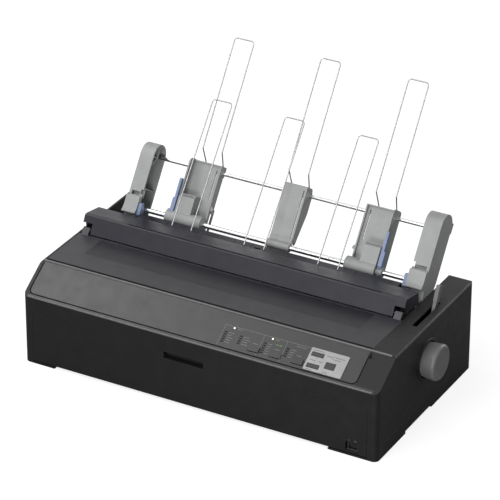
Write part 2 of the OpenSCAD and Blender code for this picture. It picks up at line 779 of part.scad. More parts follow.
module hinge_pins() color(c_steel) placed() {
    // printer cover
    for (s = [[hood_l + 2.2, hood_l + notch_w + cover_t], [hood_r - notch_w - cover_t, hood_r - 2.2]])
        bar_x(s[0], s[1], cover_pin_r, cover_axis);
    // front cover
    bar_x(front_l, front_l + 9, front_pin_r, front_axis);
    bar_x(front_r - 9, front_r, front_pin_r, front_axis);
    // paper guide
    bar_x(arm_x0 + arm_wall, -frame_out, pivot_r, leaned(guide_pivot));
    bar_x(frame_out, arm_x1 - arm_wall, pivot_r, leaned(guide_pivot));
}

// Outline of the whole front cover, as a plate
module front_plate() {
    top = front_cover_top - seam;
    along(0, front_cover_t, rounded([
        [front_l + seam, foot_gap + seam], [front_r - seam, foot_gap + seam], [front_r - seam, top],
            [front_l + seam, top]
    ], [1, 1, front_cover_r - seam, front_cover_r - seam]));
}

module front_cover() color(c_case) placed() {
    top = front_cover_top - seam;
    x0 = recess_x;
    x1 = recess_x + recess_w;
    difference() {
        union() {
            intersection() {
                front_plate();
                box([x_left, -1, 0], [front_split, front_cover_t + 1, deck_h]);
            }
            // ribs inside
            for (i = [-3:3])
                box([i * front_ribs - 1, front_cover_t - eps, foot_gap + 12],
                    [i * front_ribs + 1, front_cover_t + 3, top - recess_h - 8]);
            // pocket behind the finger recess
            box([x0 - 2, front_cover_t - eps, top - recess_h - 3], [x1 + 2, recess_d, top - 0.5]);
            // knuckle
            bar_x(front_l + 1, front_l + 9, front_axis[0] - 0.2, front_axis);
        }
        box([x0, -1, top - recess_h - 1], [x1, recess_d - 2, top - 2.5]);
        bar_x(front_l - 1, front_l + 12, front_pin_r + fit, front_axis);
    }
}

// Right end of the front cover, around the power switch
module front_cover_end() color(c_case) placed() difference() {
    union() {
        intersection() {
            front_plate();
            box([front_split, -1, 0], [x_right, front_cover_t + 1, deck_h]);
        }
        bar_x(front_r - 9, front_r - 1, front_axis[0] - 0.2, front_axis);
    }
    box([switch_x - switch_w / 2 - window_gap, -1, switch_z0 - window_gap],
        [switch_x + switch_w / 2 + window_gap, front_cover_t + 1, switch_z1 + window_gap]);
    bar_x(front_r - 12, front_r + 1, front_pin_r + fit, front_axis);
}

module switch_body() color(c_rubber) placed() difference() {
    box([switch_x - switch_w / 2, switch_y, switch_z0], [switch_x + switch_w / 2, front_gap + 20, switch_z1]);
    box([switch_x - switch_w / 2 + 2.4, 0, switch_z0 + 1.2],
        [switch_x + switch_w / 2 - 2.4, switch_axis_y + 8, switch_z1 - 1.2]);
}

// Rocker: its upper end stands proud while it is off
module power_rocker() color("#1f1f20") placed() {
    w = switch_w / 2 - 2.4 - clear;
    zc = (switch_z0 + switch_z1) / 2;
    h = (switch_z1 - switch_z0) / 2 - 2.4;
    across(switch_x - w, switch_x + w, [
        for (q = [[-1.1, -h], [-2.9, h], [0, h - 0.2], [3.7, 2.2], [3.7, -2.2], [0.4, -h]])
            [switch_axis_y, zc] + q
    ]);
    bar_x(switch_x - w - clear + eps, switch_x + w + clear - eps, 1.2, [switch_axis_y, zc]);
}

// ---------- chassis ----------

module chassis_base() color(c_steel) placed() difference() {
    union() {
        box([x_left + base_edge, frame_front, base_z], [x_right - base_edge, body_d - 22, base_top]);
        // brackets of the carriage motor and the belt's idler
        for (s = [-1, 1])
            box([s * pulley_x - 18, bracket_y, base_top - eps],
                [s * pulley_x + 18, bracket_y + sheet, pulley_z + 17]);
        bar_y(bracket_y + sheet - eps, belt_y + belt_w + 2, 2, [pulley_x, pulley_z]);
        // bracket of the paper release lever
        box([bracket_x, lever_axis[0] - 12, base_top - eps],
            [bracket_x + sheet, lever_axis[0] + 12, lever_axis[1] + 10]);
        bar_x(lever_x - lever_w / 2 - 1, bracket_x + eps, stud_r, lever_axis);
        // posts of the two boards
        for (x = [main_board_x[0] + 8, main_board_x[1] - 8, power_board_x[0] + 8, power_board_x[1] - 10],
             y = [board_y[0] + 7, board_y[1] - 14])
            translate([x, y, base_top - eps]) cylinder(h = board_z - base_top + eps, r = 3);
    }
    bar_y(bracket_y - 1, bracket_y + sheet + 1, 5, [-pulley_x, pulley_z]);
    box([switch_x - switch_w / 2 - 2, 15, base_z - 1],
        [switch_x + switch_w / 2 + 2, front_gap + 24, base_top + 1]);
    for (i = [-5:5])
        box([i * body_w / 15 - 12, rod_y + 38, base_z - 1], [i * body_w / 15 + 12, rod_y + 44, base_top + 1]);
}

// Outline of a side frame, with the seat of the hood and the ear of the guide's pivot
function frame_outline() =
    let (p = leaned(guide_pivot))
    rounded([
        [frame_front, base_top], [frame_back, base_top], [frame_back, rear_wall_h], [p[0] + 12, p[1] - 6],
        [p[0] + 6, p[1] + 8], [p[0] - 8, p[1] + 8], [hood_y1 + 3, frame_top], [ridge_y - 2, frame_top],
        [platen_y - 13, 104], [rod_y - 52, 104], [frame_front, 60]
    ], [0, 0, 0, 5, 4, 4, 0, 3, 4, 4, 4]);

module side_frame(x) difference() {
    across(x, x + sheet, frame_outline());
    bar_x(x - 1, x + sheet + 1, bearing_r, [platen_y, platen_h]);
    // relief holes
    bar_x(x - 1, x + sheet + 1, 14, [rod_y - 52, 60]);
    bar_x(x - 1, x + sheet + 1, 16, [rod_y, 40]);
    bar_x(x - 1, x + sheet + 1, 4, leaned(guide_pivot));
}

// Tab that carries the ribbon cartridge
module ribbon_tab(x) box([x, cartridge_y[0], cartridge_z[0] - 2],
    [x + 10, cartridge_y[1] - 2, cartridge_z[0]]);

module left_frame() color(c_steel) placed() {
    side_frame(-frame_out);
    ribbon_tab(-frame_x - eps);
    bar_x(-frame_out - 12, -frame_out + eps, 3, gap_lever_axis);
    bar_x(-frame_out, -frame_x, 4, leaned(guide_pivot));
}

module right_frame() color(c_steel) placed() {
    difference() {
        side_frame(frame_x);
        bar_x(frame_x - 1, frame_out + 1, 6, feed_axis);
    }
    ribbon_tab(frame_x - 10 + eps);
    bar_x(frame_x, frame_out, 4, leaned(guide_pivot));
}

module guide_rod() color(c_steel) placed() bar_x(-frame_x, frame_x, rod_r, [rod_y, rod_h]);

module carriage_rail() color(c_steel) placed()
    across(-frame_x, frame_x, [
        [rail_y, rail_z], [rail_y + 16, rail_z], [rail_y + 16, rail_z + 2], [rail_y + 2, rail_z + 2],
        [rail_y + 2, rail_z + 8], [rail_y, rail_z + 8]
    ]);

module carriage() color(c_rubber) placed() difference() {
    union() {
        across(-carriage_w / 2, carriage_w / 2, rounded([
            [carriage_front, carriage_z], [rod_y + 12, carriage_z], [rod_y + 12, rod_h + 8],
            [rod_y + 6, carriage_top - 8], [rod_y - 20, carriage_top - 8], [carriage_front, 72]
        ], [1, 2, 3, 3, 2, 1]));
        // front foot on the rail
        box([-12, carriage_front - 3, rail_z + 2 + clear], [12, carriage_front + 8, 68]);
        // leg that grips the belt
        box([-10, belt_y + 1, pulley_z + pulley_r - 2.6], [10, belt_y + belt_w + 3, carriage_z + 1]);
    }
    bar_x(-carriage_w, carriage_w, rod_r + fit, [rod_y, rod_h]);
    box([-11, belt_y - 1, pulley_z + pulley_r - clear],
        [11, belt_y + belt_w + 0.6, pulley_z + pulley_r + belt_t + 2 * clear]);
}

// Print head: finned body, neck and nose towards the platen
module print_head() color("#3a3a3a") placed() {
    nose = ribbon_y - 1.4;
    seat = carriage_top - 8;
    back = rod_y - 14;
    bar_y(back, back + 20, 18, [0, seat + 18]);
    for (i = [0:3]) bar_y(back + 2 + i * 4.4, back + 3.6 + i * 4.4, 20.5, [0, seat + 20.5]);
    box([-14, back, seat], [14, back + 24, seat + 10]);
    along(back + 19.9, nose - 6, [[-10, seat + 2], [10, seat + 2], [8, seat + 26], [-8, seat + 26]]);
    along(nose - 6.1, nose, [[-4, seat + 7], [4, seat + 7], [4, seat + 20], [-4, seat + 20]]);
}

// Toothed belt as a flat loop round both pulleys
module drive_belt() color(c_rubber) placed()
    translate([0, belt_y + belt_w, pulley_z]) rotate([90, 0, 0]) linear_extrude(belt_w) difference() {
        belt_outline(pulley_r + belt_t + 0.15);
        belt_outline(pulley_r + 0.15);
    }

module belt_outline(r) {
    for (s = [-1, 1]) translate([s * pulley_x, 0]) circle(r = r);
    square([2 * pulley_x, 2 * r], center = true);
}

module pulley(x, bore) difference() {
    union() {
        bar_y(belt_y, belt_y + belt_w, pulley_r, [x, pulley_z]);
        bar_y(belt_y + belt_w, belt_y + belt_w + 1.2, pulley_r + 1.6, [x, pulley_z]);
    }
    bar_y(belt_y - 1, belt_y + belt_w + 2, bore, [x, pulley_z]);
    // grip teeth
    for (a = [0:30:330])
        translate([x, belt_y - 1, pulley_z]) rotate([-90, 0, 0]) rotate([0, 0, a])
            translate([pulley_r - 0.4, -0.5, 0]) cube([1, 1, belt_w + 1]);
}

module drive_pulley() color(c_steel) placed() {
    pulley(-pulley_x, 1);
    bar_y(bracket_y - 10, belt_y + belt_w + 1, 2.2, [-pulley_x, pulley_z]);
}

module idler_pulley() color(c_steel) placed() pulley(pulley_x, 2 + fit);

module carriage_motor() color("#4a4a4c") placed() difference() {
    union() {
        bar_y(bracket_y - 26, bracket_y, 16, [-pulley_x, pulley_z]);
        bar_y(bracket_y - 29, bracket_y - 26 + eps, 9, [-pulley_x, pulley_z]);
    }
    bar_y(bracket_y - 11, bracket_y + 1, 2.2 + fit, [-pulley_x, pulley_z]);
}

// ---------- platen and paper path ----------

module platen_roller() color(c_rubber) placed() difference() {
    bar_x(-platen_len / 2, platen_len / 2, platen_r, [platen_y, platen_h]);
    bar_x(-platen_len / 2 - 1, platen_len / 2 + 1, platen_shaft_r, [platen_y, platen_h]);
}

module platen_shaft() color(c_steel) placed()
    bar_x(-frame_out - 3, x_right + knob_out - 8, platen_shaft_r, [platen_y, platen_h]);

module platen_bearings() color("#d8d4c8") placed()
    for (s = [-1, 1]) difference() {
        union() {
            bar_x(s * (frame_x + sheet / 2) - sheet / 2, s * (frame_x + sheet / 2) + sheet / 2, bearing_r,
                [platen_y, platen_h]);
            bar_x(s > 0 ? frame_x - 2 : -frame_x, s > 0 ? frame_x : -frame_x + 2, bearing_r + 2,
                [platen_y, platen_h]);
        }
        bar_x(-frame_out - 5, frame_out + 5, platen_shaft_r + fit, [platen_y, platen_h]);
    }

module platen_gear() color("#dcd8cc") placed() difference() {
    union() {
        translate([gear_x, platen_y, platen_h]) rotate([90, 0, 90]) linear_extrude(gear_w)
            polygon(gear_outline(platen_teeth, gear_module, feed_a));
        bar_x(gear_x - 3, gear_x + gear_w + 3, 11, [platen_y, platen_h]);
    }
    bar_x(gear_x - 4, gear_x + gear_w + 4, platen_shaft_r, [platen_y, platen_h]);
    for (a = [0:60:300])
        translate([gear_x - 1, platen_y, platen_h]) rotate([a, 0, 0]) translate([0, 25, 0])
            rotate([0, 90, 0]) cylinder(h = gear_w + 2, r = 8);
}

module motor_pinion() color("#b59a52") placed() {
    translate([gear_x, feed_axis[0], feed_axis[1]]) rotate([90, 0, 90]) linear_extrude(gear_w)
        polygon(gear_outline(pinion_teeth, gear_module, feed_a + 180 + 180 / pinion_teeth));
    bar_x(frame_x - 10, gear_x + gear_w + 2, motor_shaft_r, feed_axis);
}

module feed_motor() color("#4a4a4c") placed() difference() {
    union() {
        bar_x(frame_x - motor_len, frame_x, motor_r, feed_axis);
        bar_x(frame_x - motor_len - 3, frame_x - motor_len + eps, 8, feed_axis);
    }
    bar_x(frame_x - 11, frame_x + 1, motor_shaft_r + fit, feed_axis);
}

// Knob with a ribbed rim and a dished face
module platen_knob() color("#4b4b4c") placed() {
    x0 = x_right - knob_in;
    x1 = x_right + knob_out;
    translate([0, platen_y, platen_h]) rotate([0, 90, 0]) difference() {
        rotate_extrude($fn = 72) polygon(concat(
            [[platen_shaft_r, x0], [knob_r - 3, x0], [knob_r - 2, x0 + 4]],
            corner([knob_r - 1.2, x0 + 6], [knob_r, x1], [0, x1], 5),
            [[knob_r - 7, x1 - 0.6], [0, x1 - 1.4], [0, x1 - 8], [platen_shaft_r, x1 - 8]]
        ));
        // grip flutes
        for (a = [0:15:345]) rotate([0, 0, a]) translate([knob_r + 1.1, 0, x0 - 1]) cylinder(h = 20,
            r = 1.9, $fn = 24);
    }
}

// Sheet that leads the paper down behind the platen and round under it
module paper_pan() color(c_steel) placed() {
    r = platen_r + 2.4;
    t = 1.2;
    a0 = -150;
    a1 = 12;
    c = [platen_y, platen_h];
    top = [low_shaft[0] - 8.5, 146];
    back = [frame_back - 1, rear_wall_h + 4];
    start = c + r * [cos(a1), sin(a1)];
    rise = (top - start) / norm(top - start);
    fall = (back - top) / norm(back - top);
    mid = (fall - rise) / norm(fall - rise);
    across(-frame_x, frame_x, concat(
        [for (a = [a0:9:a1]) c + r * [cos(a), sin(a)]],
        [top, back, back + t * [fall[1], -fall[0]], top + 1.45 * t * mid, start + t * [rise[1], -rise[0]]],
        [for (a = [a1 - 9:-9:a0]) c + (r + t) * [cos(a), sin(a)]]
    ));
}

module rear_cover() color(c_case) placed() difference() {
    vent_step = (bay_r - bay_l) / 26;
    box([bay_l + seam, frame_back + 1, rear_wall_h], [bay_r - seam, body_d, rear_wall_h + 3]);
    for (i = [-11:11])
        box([i * vent_step - 8, frame_back + 20, rear_wall_h - 1],
            [i * vent_step + 8, frame_back + 23, rear_wall_h + 4]);
}

// Wide fixed cartridge: a long box, two arms back to the platen and the ribbon between them
module ribbon_cartridge() color(c_rubber) placed() {
    x = frame_x - 1;
    y0 = cartridge_y[0];
    y1 = cartridge_y[1];
    low = cartridge_z[0];
    h = cartridge_z[1];
    difference() {
        translate([0, 0, low]) linear_extrude(h - low) polygon(round_rect(-x, y0, x, y1, 3));
        translate([0, 0, h - 1.5]) linear_extrude(3) polygon(round_rect(-x + 12, y0 + 4, x - 12, y1 - 4, 2));
    }
    for (s = [-x, x - 12]) difference() {
        across(s, s + 12, rounded([
            [y1 - 2, low], [ribbon_y, low - 18], [ribbon_y, low + 1], [y1 + 10, h], [y1 - 2, h]
        ], [0, 1, 3, 4, 0]));
        box([s + 3, ribbon_y - 12, low - 20], [s + 9, ribbon_y - 3, low + 3]);
    }
    // ribbon
    box([-x + 12, ribbon_y - 0.4, low - 15.5], [x - 12, ribbon_y, low - 2.5]);
    // tension knob
    translate([x - 40, (y0 + y1) / 2, h - 1.5]) cylinder(h = 7, r = 7);
}

// ---------- levers ----------

module lever_profile(l, w0, w1) {
    circle(r = w0);
    polygon([[-w0 + 1, 0], [w0 - 1, 0], [w1 / 2, l], [-w1 / 2, l]]);
    translate([0, l]) circle(r = w1 / 2);
}

module release_lever() color("#5b5b5c") placed() difference() {
    translate([lever_x - lever_w / 2, lever_axis[0], lever_axis[1]]) rotate([-lever_lean, 0, 0]) union() {
        rotate([90, 0, 90]) linear_extrude(lever_w) lever_profile(lever_len - 6, stud_r + 4, 8);
        translate([-0.6, -5.5, deck_h - lever_axis[1] + 14])
            cube([lever_w + 1.2, 11, lever_len - (deck_h - lever_axis[1] + 14)]);
    }
    bar_x(lever_x - 10, lever_x + 10, stud_r + fit, lever_axis);
}

module thickness_lever() color(c_blue) placed() difference() {
    translate([-frame_out - 4 - clear, gap_lever_axis[0], gap_lever_axis[1]]) rotate([90, 0, 90])
        linear_extrude(4) lever_profile(84, 8, 7);
    bar_x(-frame_out - 10, -frame_out, 3 + fit, gap_lever_axis);
}

// ---------- boards ----------

// Board with its parts as blocks: [x, y, width, depth, height] from the board's front left corner
module board(x, parts) {
    box([x[0], board_y[0], board_z], [x[1], board_y[1], board_z + board_t]);
    for (p = parts)
        translate([x[0] + p[0], board_y[0] + p[1], board_z + board_t - eps]) cube([p[2], p[3], p[4] + eps]);
}

// Socket shell on a board, open to the back
module socket(s, wall, depth) difference() {
    box([s[0], body_d - socket_depth, s[2] - eps], [s[1], body_d - 0.6, s[3]]);
    box([s[0] + wall, body_d - depth, s[2] + wall], [s[1] - wall, body_d, s[3] - wall]);
}

// Main board and power board, with their sockets
module circuit_boards() color(c_board) placed() {
    s = sockets[0];
    board(main_board_x, [[28, 25, 24, 24, 3], [68, 30, 18, 12, 3], [98, 20, 30, 10, 4], [134, 25, 8, 30, 9]]);
    socket(sockets[1], 3, 9);
    socket(sockets[2], 3, 9);
    board(power_board_x, [[83, 17, 32, 30, 26], [123, 25, 14, 36, 24], [58, 21, 14, 14, 28]]);
    socket(s, 2.5, 16);
    // contact pins
    for (x = [-7, 0, 7])
        box([(s[0] + s[1]) / 2 + x - 1, body_d - 17, s[2] + 10],
            [(s[0] + s[1]) / 2 + x + 1, body_d - 5, s[2] + 14]);
}

// ---------- paper guide ----------

// Outline of an arm in the leaning frame, [back, up], drawn in by an inset
module arm_outline(i, l) {
    r = arm_d / 2 - i;
    c = [arm_front + arm_d / 2, l - arm_d / 2];
    translate(c) circle(r = r);
    polygon([[arm_front + i, c[1]], [arm_front + i, -4], [guide_pivot[0] - arm_foot_r + i, guide_pivot[1]],
        [guide_pivot[0] + arm_foot_r - i, guide_pivot[1]], [arm_front + arm_d - i, 8],
            [arm_front + arm_d - i, c[1]]]);
    translate(guide_pivot) circle(r = arm_foot_r - i);
}

// Arm as a channel, open towards the other arm; its web is at x = 0
module guide_arm(w, l) difference() {
    back = arm_front + arm_d;
    r0 = top_shaft[1] - 3.5;
    union() {
        difference() {
            rotate([90, 0, 90]) linear_extrude(w) arm_outline(0, l);
            translate([arm_wall, 0, 0]) rotate([90, 0, 90]) linear_extrude(w) arm_outline(arm_wall, l);
        }
        // cross rib, and a short rib with two struts below the round top
        box([arm_wall - eps, arm_front + 1, 31], [w - 2, back - 1, 32.6]);
        across(arm_wall - eps, w - 2, [
            [arm_front + 1, r0], [5, r0], [arm_front + 1, r0 - 17], [arm_front + 1, r0 - 19.4], [6.6, r0 - 1],
            [6.6, l - 2], [5, l - 2], [5, r0 + 1.6], [arm_front + 1, r0 + 1.6]
        ]);
        // floor behind the slot
        across(arm_wall - eps, w - 1, [[arm_front + 1, 16], [-5, 16], [-5, 32], [-6.6, 32], [-6.6, 17.6],
            [arm_front + 1, 17.6]]);
        // pad in front of the foot, with a flared lower edge
        across(0, w, [
            [arm_front + 1.4, 17], [-19.4, 17], [-20, 16.2], [-20, -1], [-20.8, -6], [-23.5, -10.5],
            [-22.4, -12], [arm_front + 4.6, -12], [arm_front + 1.4, -5]
        ]);
        // boss of the pivot
        bar_x(arm_wall - eps, w, pivot_r + 4, guide_pivot);
        // post and pin of the latch
        bar_x(arm_wall - eps, w, 3.5, latch_axis);
        bar_x(w - eps, w + clear + latch_w, latch_pin_r, latch_axis);
    }
    bar_x(-eps, w + 1, pivot_r + fit, guide_pivot);
    // slot in the front
    box([4.5, arm_front - 1, 19], [w - 5, arm_front + arm_wall + 0.4, 25]);
    box([w - 4, arm_front - 1, 21], [w + 1, arm_front + 7, 29]);
}

module left_arm() color(c_guide) placed() leaning() translate([arm_x0, 0, 0]) guide_arm(left_arm_w, arm_len);

module right_arm() color(c_guide) placed() leaning() translate([arm_x1, 0, 0]) mirror([1, 0, 0]) {
    guide_arm(right_arm_w, right_arm_len);
    // stop tab at the back
    box([0, arm_front + arm_d - 1, right_arm_len - 27], [5, arm_front + arm_d + 3, right_arm_len - 10]);
}

module guide_shafts() color(c_steel) placed() leaning() {
    bar_x(arm_x0 + arm_wall, arm_x1 - arm_wall, low_shaft_r, [0, 0]);
    bar_x(arm_x0 + arm_wall, arm_x1 - arm_wall, top_shaft_r, top_shaft);
}

// Tray-shaped sheet guide about x = 0; the side walls carry the upper shaft
module guide_tray(w, recess) difference() {
    across(-w / 2, w / 2, rounded([
        [plate_y0 - recess, 2], [plate_y0 - recess, guide_len - 3], [plate_y0 + 1, guide_len],
        [guide_d - 6, guide_len], [guide_d, guide_len - 12], [guide_d, 60], [14, 8], [6, 2]
    ], [0, 1, 2, 5, 5, 4, 3, 0]));
    // hollow behind the face
    across(-w / 2 + guide_wall, w / 2 - guide_wall, [
        [plate_y0 + guide_wall, -1], [plate_y0 + guide_wall, guide_len - 3], [guide_d + 1, guide_len - 3],
            [guide_d + 1, -1]
    ]);
    // shallow channel in the face
    if (recess > 0)
        box([-w / 2 + guide_wall, plate_y0 - recess - 1, 16], [w / 2 - guide_wall, plate_y0, guide_len - 2]);
    bar_x(-w, w, top_shaft_r + fit, top_shaft);
    bar_x(-w, w, housing_r + 0.1, [0, 0]);
}

// Edge guide about x = 0, its outer side towards +x: a recessed face between two side walls
module edge_tray() {
    o = edge_guide_w / 2;
    // face with a lip along its top
    box([-o, face_y, -9], [o, face_y + face_t, guide_len - 1]);
    box([-o, face_y - 3, guide_len - 3], [o, guide_d - 1, guide_len - 1]);
    // outer wall, rounded at the top
    across(o - guide_wall, o, rounded([
        [-4, 13], [-4, guide_len], [guide_d, guide_len], [guide_d, 3], [face_y, -9], [face_y, 2]
    ], [1, 9, 6, 5, 0, 0]));
    // inner wall with its tail
    across(-o, -o + guide_wall, rounded([
        [face_y - 4, -15], [face_y - 4, guide_len - 2], [guide_d - 3, guide_len - 2], [guide_d - 3, 30],
        [guide_d + 1, 27], [guide_d + 1, -15]
    ], [0, 2, 4, 0, 1, 2]));
    // nub at the inner side
    along(face_y - 2, face_y + face_t, [[-o + 1, 34], [-o - 4.5, 29], [-o - 4.5, 25], [-o + 1, 25]]);
}

// Edge guide: tray, block, wire blocks and housing; left at side -1, right at side 1
module edge_guide(side) {
    o = edge_guide_w / 2;
    sh = side < 0 ? left_wire_shift : right_wire_shift;
    ends = side < 0 ? [-housing_l, o - 0.6] : [-o - 1.5, o - guide_wall + 0.6];
    difference() {
        union() {
            scale([side, 1, 1]) edge_tray();
            translate([sh, 0, 0]) wire_blocks(face_y);
            bar_x(ends[0], ends[1], housing_r, [0, 0]);
            // block above the housing
            scale([side, 1, 1])
                across(-4.5, o - guide_wall + eps,
                    [[face_y + 1, 4], [face_y + 1, 41], [-3, 41], [-9, 35], [-9, 8], [0, 4]]);
            // bridge between the housing and the face
            box([max(-o, ends[0]) + 0.5, 4, -8], [min(o, ends[1]) - 0.5, face_y + 1, 8]);
            if (side > 0) {
                bar_x(ends[1] - 1, o + hub_w, neck_r, [0, 0]);
                bar_x(o + hub_w - eps, o + hub_w + 1.5, neck_r + 1, [0, 0]);
            }
        }
        bar_x(-60, 60, low_shaft_r + fit, [0, 0]);
        bar_x(-60, 60, top_shaft_r + fit, top_shaft);
        // hollow of the block, from behind
        scale([side, 1, 1]) box([-2.3, -6.6, 15], [o - guide_wall - 1.5, guide_d, 38]);
        // slot in the face, and one in the tail
        scale([side, 1, 1]) {
            box([-o + 7, face_y - 1, 42], [-o + 8.6, face_y + face_t + 1, 90]);
            box([-o - 1, face_y + face_t + 1, -9], [-o + guide_wall + 1, guide_d - 3, 21]);
        }
        if (side < 0) hub_pocket();
        translate([sh, 0, 0]) wire_sockets();
    }
}

// Pocket round the neck for the left lever's hub, open at the back and the top
module hub_pocket() {
    x0 = -hub_x - hub_w;
    difference() {
        union() {
            bar_x(x0, -hub_x, hub_r + 0.5, [0, 0]);
            box([x0, -10, 3], [-hub_x, guide_d + 2, 40]);
            box([x0, 0, -20], [-hub_x, guide_d + 2, 4]);
        }
        bar_x(x0 - 1, 1 - hub_x, neck_r, [0, 0]);
    }
}

// Blue lock lever: an open hub that snaps over the neck, a wide root and a narrow blade
module lock_lever(x, side) difference() {
    x0 = x + clear;
    x1 = x + hub_w - clear;
    m = side < 0 ? [x1 - 4, x1] : [x0, x0 + 4];
    union() {
        bar_x(x0, x1, hub_r, [0, 0]);
        across(x0, x1, [[-6.5, 5], [-1, 8], [-2.4, 31], [-9, 31], [-9.2, 7.5]]);
        across(m[0], m[1], [[-2.4, 30], [-3.5, 62], [-4.5, 63], [-8, 63], [-9, 61], [-9, 30]]);
    }
    bar_x(x - 1, x + hub_w + 1, neck_r + 0.3, [0, 0]);
    box([x, -hub_r - 1, -6], [x + hub_w, -2, 4.6]);
}

// Blocks in a tray's top that hold a rear wire and bear on the upper shaft
module wire_blocks(y)
    for (s = [-1, 1])
        box([s * seat_w / 2 - 3, y, top_shaft[1] - 5.5], [s * seat_w / 2 + 3, guide_d - 1, guide_len - 2]);

module wire_sockets()
    for (s = [-1, 1])
        rear_leg(s, wire_d / 2 + 0.02);

// Round bar of radius r from point a to point b
module rod(a, b, r) {
    d = b - a;
    translate(a) rotate([0, acos(d[2] / norm(d)), atan2(d[1], d[0])]) cylinder(h = norm(d), r = r, $fn = 24);
}

// Lower stretch of a rear wire, out of its socket up to the bend
module rear_leg(s, r)
    rod([s * wire_w / 2, wire_bend[0], wire_bend[1]], [s * seat_w / 2, wire_seat[0], wire_seat[1]], r);

// Rear wire loop: legs out of the sockets, a swollen bend and a long loop
module rear_wire() {
    top = guide_len + rear_wire_len;
    for (s = [-1, 1]) {
        rear_leg(s, wire_d / 2);
        translate([s * wire_w / 2, wire_bend[0], wire_bend[1]]) {
            sphere(r = wire_d / 2 + 0.15, $fn = 32);
            cylinder(h = top - wire_corner - wire_bend[1], r = wire_d / 2, $fn = 24);
        }
    }
    translate([0, wire_bend[0], top - wire_corner]) loop_top();
}

module left_guide() color(c_guide) placed() leaning() translate([left_guide_x, 0, 0]) edge_guide(-1);

module right_guide() color(c_guide) placed() leaning() translate([right_guide_x, 0, 0]) edge_guide(1);

module left_guide_lever() color(c_blue) placed() leaning()
    translate([left_guide_x, 0, 0]) lock_lever(-hub_x - hub_w, -1);

module right_guide_lever() color(c_blue) placed() leaning()
    translate([right_guide_x, 0, 0]) lock_lever(hub_x, 1);

module centre_support() color(c_guide) placed() leaning() translate([centre_x, 0, 0]) difference() {
    union() {
        guide_tray(centre_w, 0);
        bar_x(-centre_w / 2, centre_w / 2, low_shaft_r + 3, [0, 0]);
        box([-centre_w / 2, 0, 3], [centre_w / 2, plate_y0 + guide_wall, 14]);
        wire_blocks(plate_y0 + guide_wall - eps);
    }
    bar_x(-centre_w, centre_w, low_shaft_r + fit, [0, 0]);
    bar_x(-centre_w, centre_w, top_shaft_r + fit, top_shaft);
    // slots along the right side
    for (s = [[14, 24], [28, 60], [64, 92]])
        box([centre_w / 2 - 5, plate_y0 - 1, s[0]], [centre_w / 2 - 3.4, plate_y0 + guide_wall + 1, s[1]]);
    wire_sockets();
}

module left_guide_wire() color(c_steel) placed() leaning() translate([left_guide_x + left_wire_shift, 0,
    0]) rear_wire();

module right_guide_wire() color(c_steel) placed() leaning() translate([right_guide_x + right_wire_shift,
    0, 0]) rear_wire();

module centre_wire() color(c_steel) placed() leaning() translate([centre_x, 0, 0]) rear_wire();

// Blue latch on the inner side of an arm's foot
module latch(x) difference() {
    across(x, x + latch_w, rounded([
        latch_axis + [-8, -7], latch_axis + [3, -7], latch_axis + [4, 4], latch_axis + [-2, 15],
            latch_axis + [-8, 13]
    ], [2, 3, 3, 1, 2]));
    bar_x(x - 1, x + latch_w + 1, latch_pin_r + fit, latch_axis);
}

module left_latch() color(c_blue) placed() leaning() latch(arm_x0 + left_arm_w + clear);

module right_latch() color(c_blue) placed() leaning() latch(arm_x1 - right_arm_w - clear - latch_w);

module button_a() button(small_btns[0], small_btn_y, small_btn_w, btn_h);
module button_b() button(small_btns[1], small_btn_y, small_btn_w, btn_h);
module button_c() button(small_btns[2], small_btn_y, small_btn_w, btn_h);
module button_d() button(wide_btns[0][0], wide_btns[0][1], wide_btn_w, wide_btn_h);
module button_e() button(wide_btns[1][0], wide_btns[1][1], wide_btn_w, wide_btn_h);
module button_f() button(square_btn[0], square_btn[1], small_btn_w - 2, btn_h + 1.5);

lower_case();
upper_case();
control_panel();
button_plate();
panel_board();
led_lenses();
button_a();
button_b();
button_c();
button_d();
button_e();
button_f();
hood();
exit_panel();
front_wires();
printer_cover();
cover_window();
hinge_pins();
front_cover();
front_cover_end();
switch_body();
power_rocker();
chassis_base();
left_frame();
right_frame();
guide_rod();
carriage_rail();
carriage();
print_head();
drive_belt();
drive_pulley();
idler_pulley();
carriage_motor();
platen_roller();
platen_shaft();
platen_knob();
platen_gear();
platen_bearings();
motor_pinion();
feed_motor();
paper_pan();
rear_cover();
ribbon_cartridge();
release_lever();
thickness_lever();
circuit_boards();
rubber_feet();
left_arm();
right_arm();
guide_shafts();
left_guide();
left_guide_wire();
left_guide_lever();
right_guide();
right_guide_wire();
right_guide_lever();
centre_support();
centre_wire();
left_latch();
right_latch();
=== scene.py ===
import json
import math
import random

import bmesh
import bpy
from mathutils import Matrix, Vector


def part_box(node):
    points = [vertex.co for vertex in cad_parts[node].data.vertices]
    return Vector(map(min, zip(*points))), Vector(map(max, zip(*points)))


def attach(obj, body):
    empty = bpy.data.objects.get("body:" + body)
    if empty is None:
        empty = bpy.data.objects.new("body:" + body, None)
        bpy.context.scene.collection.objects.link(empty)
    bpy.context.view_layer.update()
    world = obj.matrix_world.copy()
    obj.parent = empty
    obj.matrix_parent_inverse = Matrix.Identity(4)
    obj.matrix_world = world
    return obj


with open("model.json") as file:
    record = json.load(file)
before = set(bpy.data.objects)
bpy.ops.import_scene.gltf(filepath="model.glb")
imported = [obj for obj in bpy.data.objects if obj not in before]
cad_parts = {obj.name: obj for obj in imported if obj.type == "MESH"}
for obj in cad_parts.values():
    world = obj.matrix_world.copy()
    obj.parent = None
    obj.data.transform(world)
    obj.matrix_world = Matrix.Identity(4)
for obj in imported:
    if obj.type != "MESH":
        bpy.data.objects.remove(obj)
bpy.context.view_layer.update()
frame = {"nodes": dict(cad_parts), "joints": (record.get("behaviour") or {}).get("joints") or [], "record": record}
nodes = frame["nodes"]
joints = {j["name"]: j for j in frame["joints"]}
rng = random.Random(7)
MM = 0.001
ACROSS = Vector((1, 0, 0))
BACK = Vector((0, 1, 0))
UP = Vector((0, 0, 1))

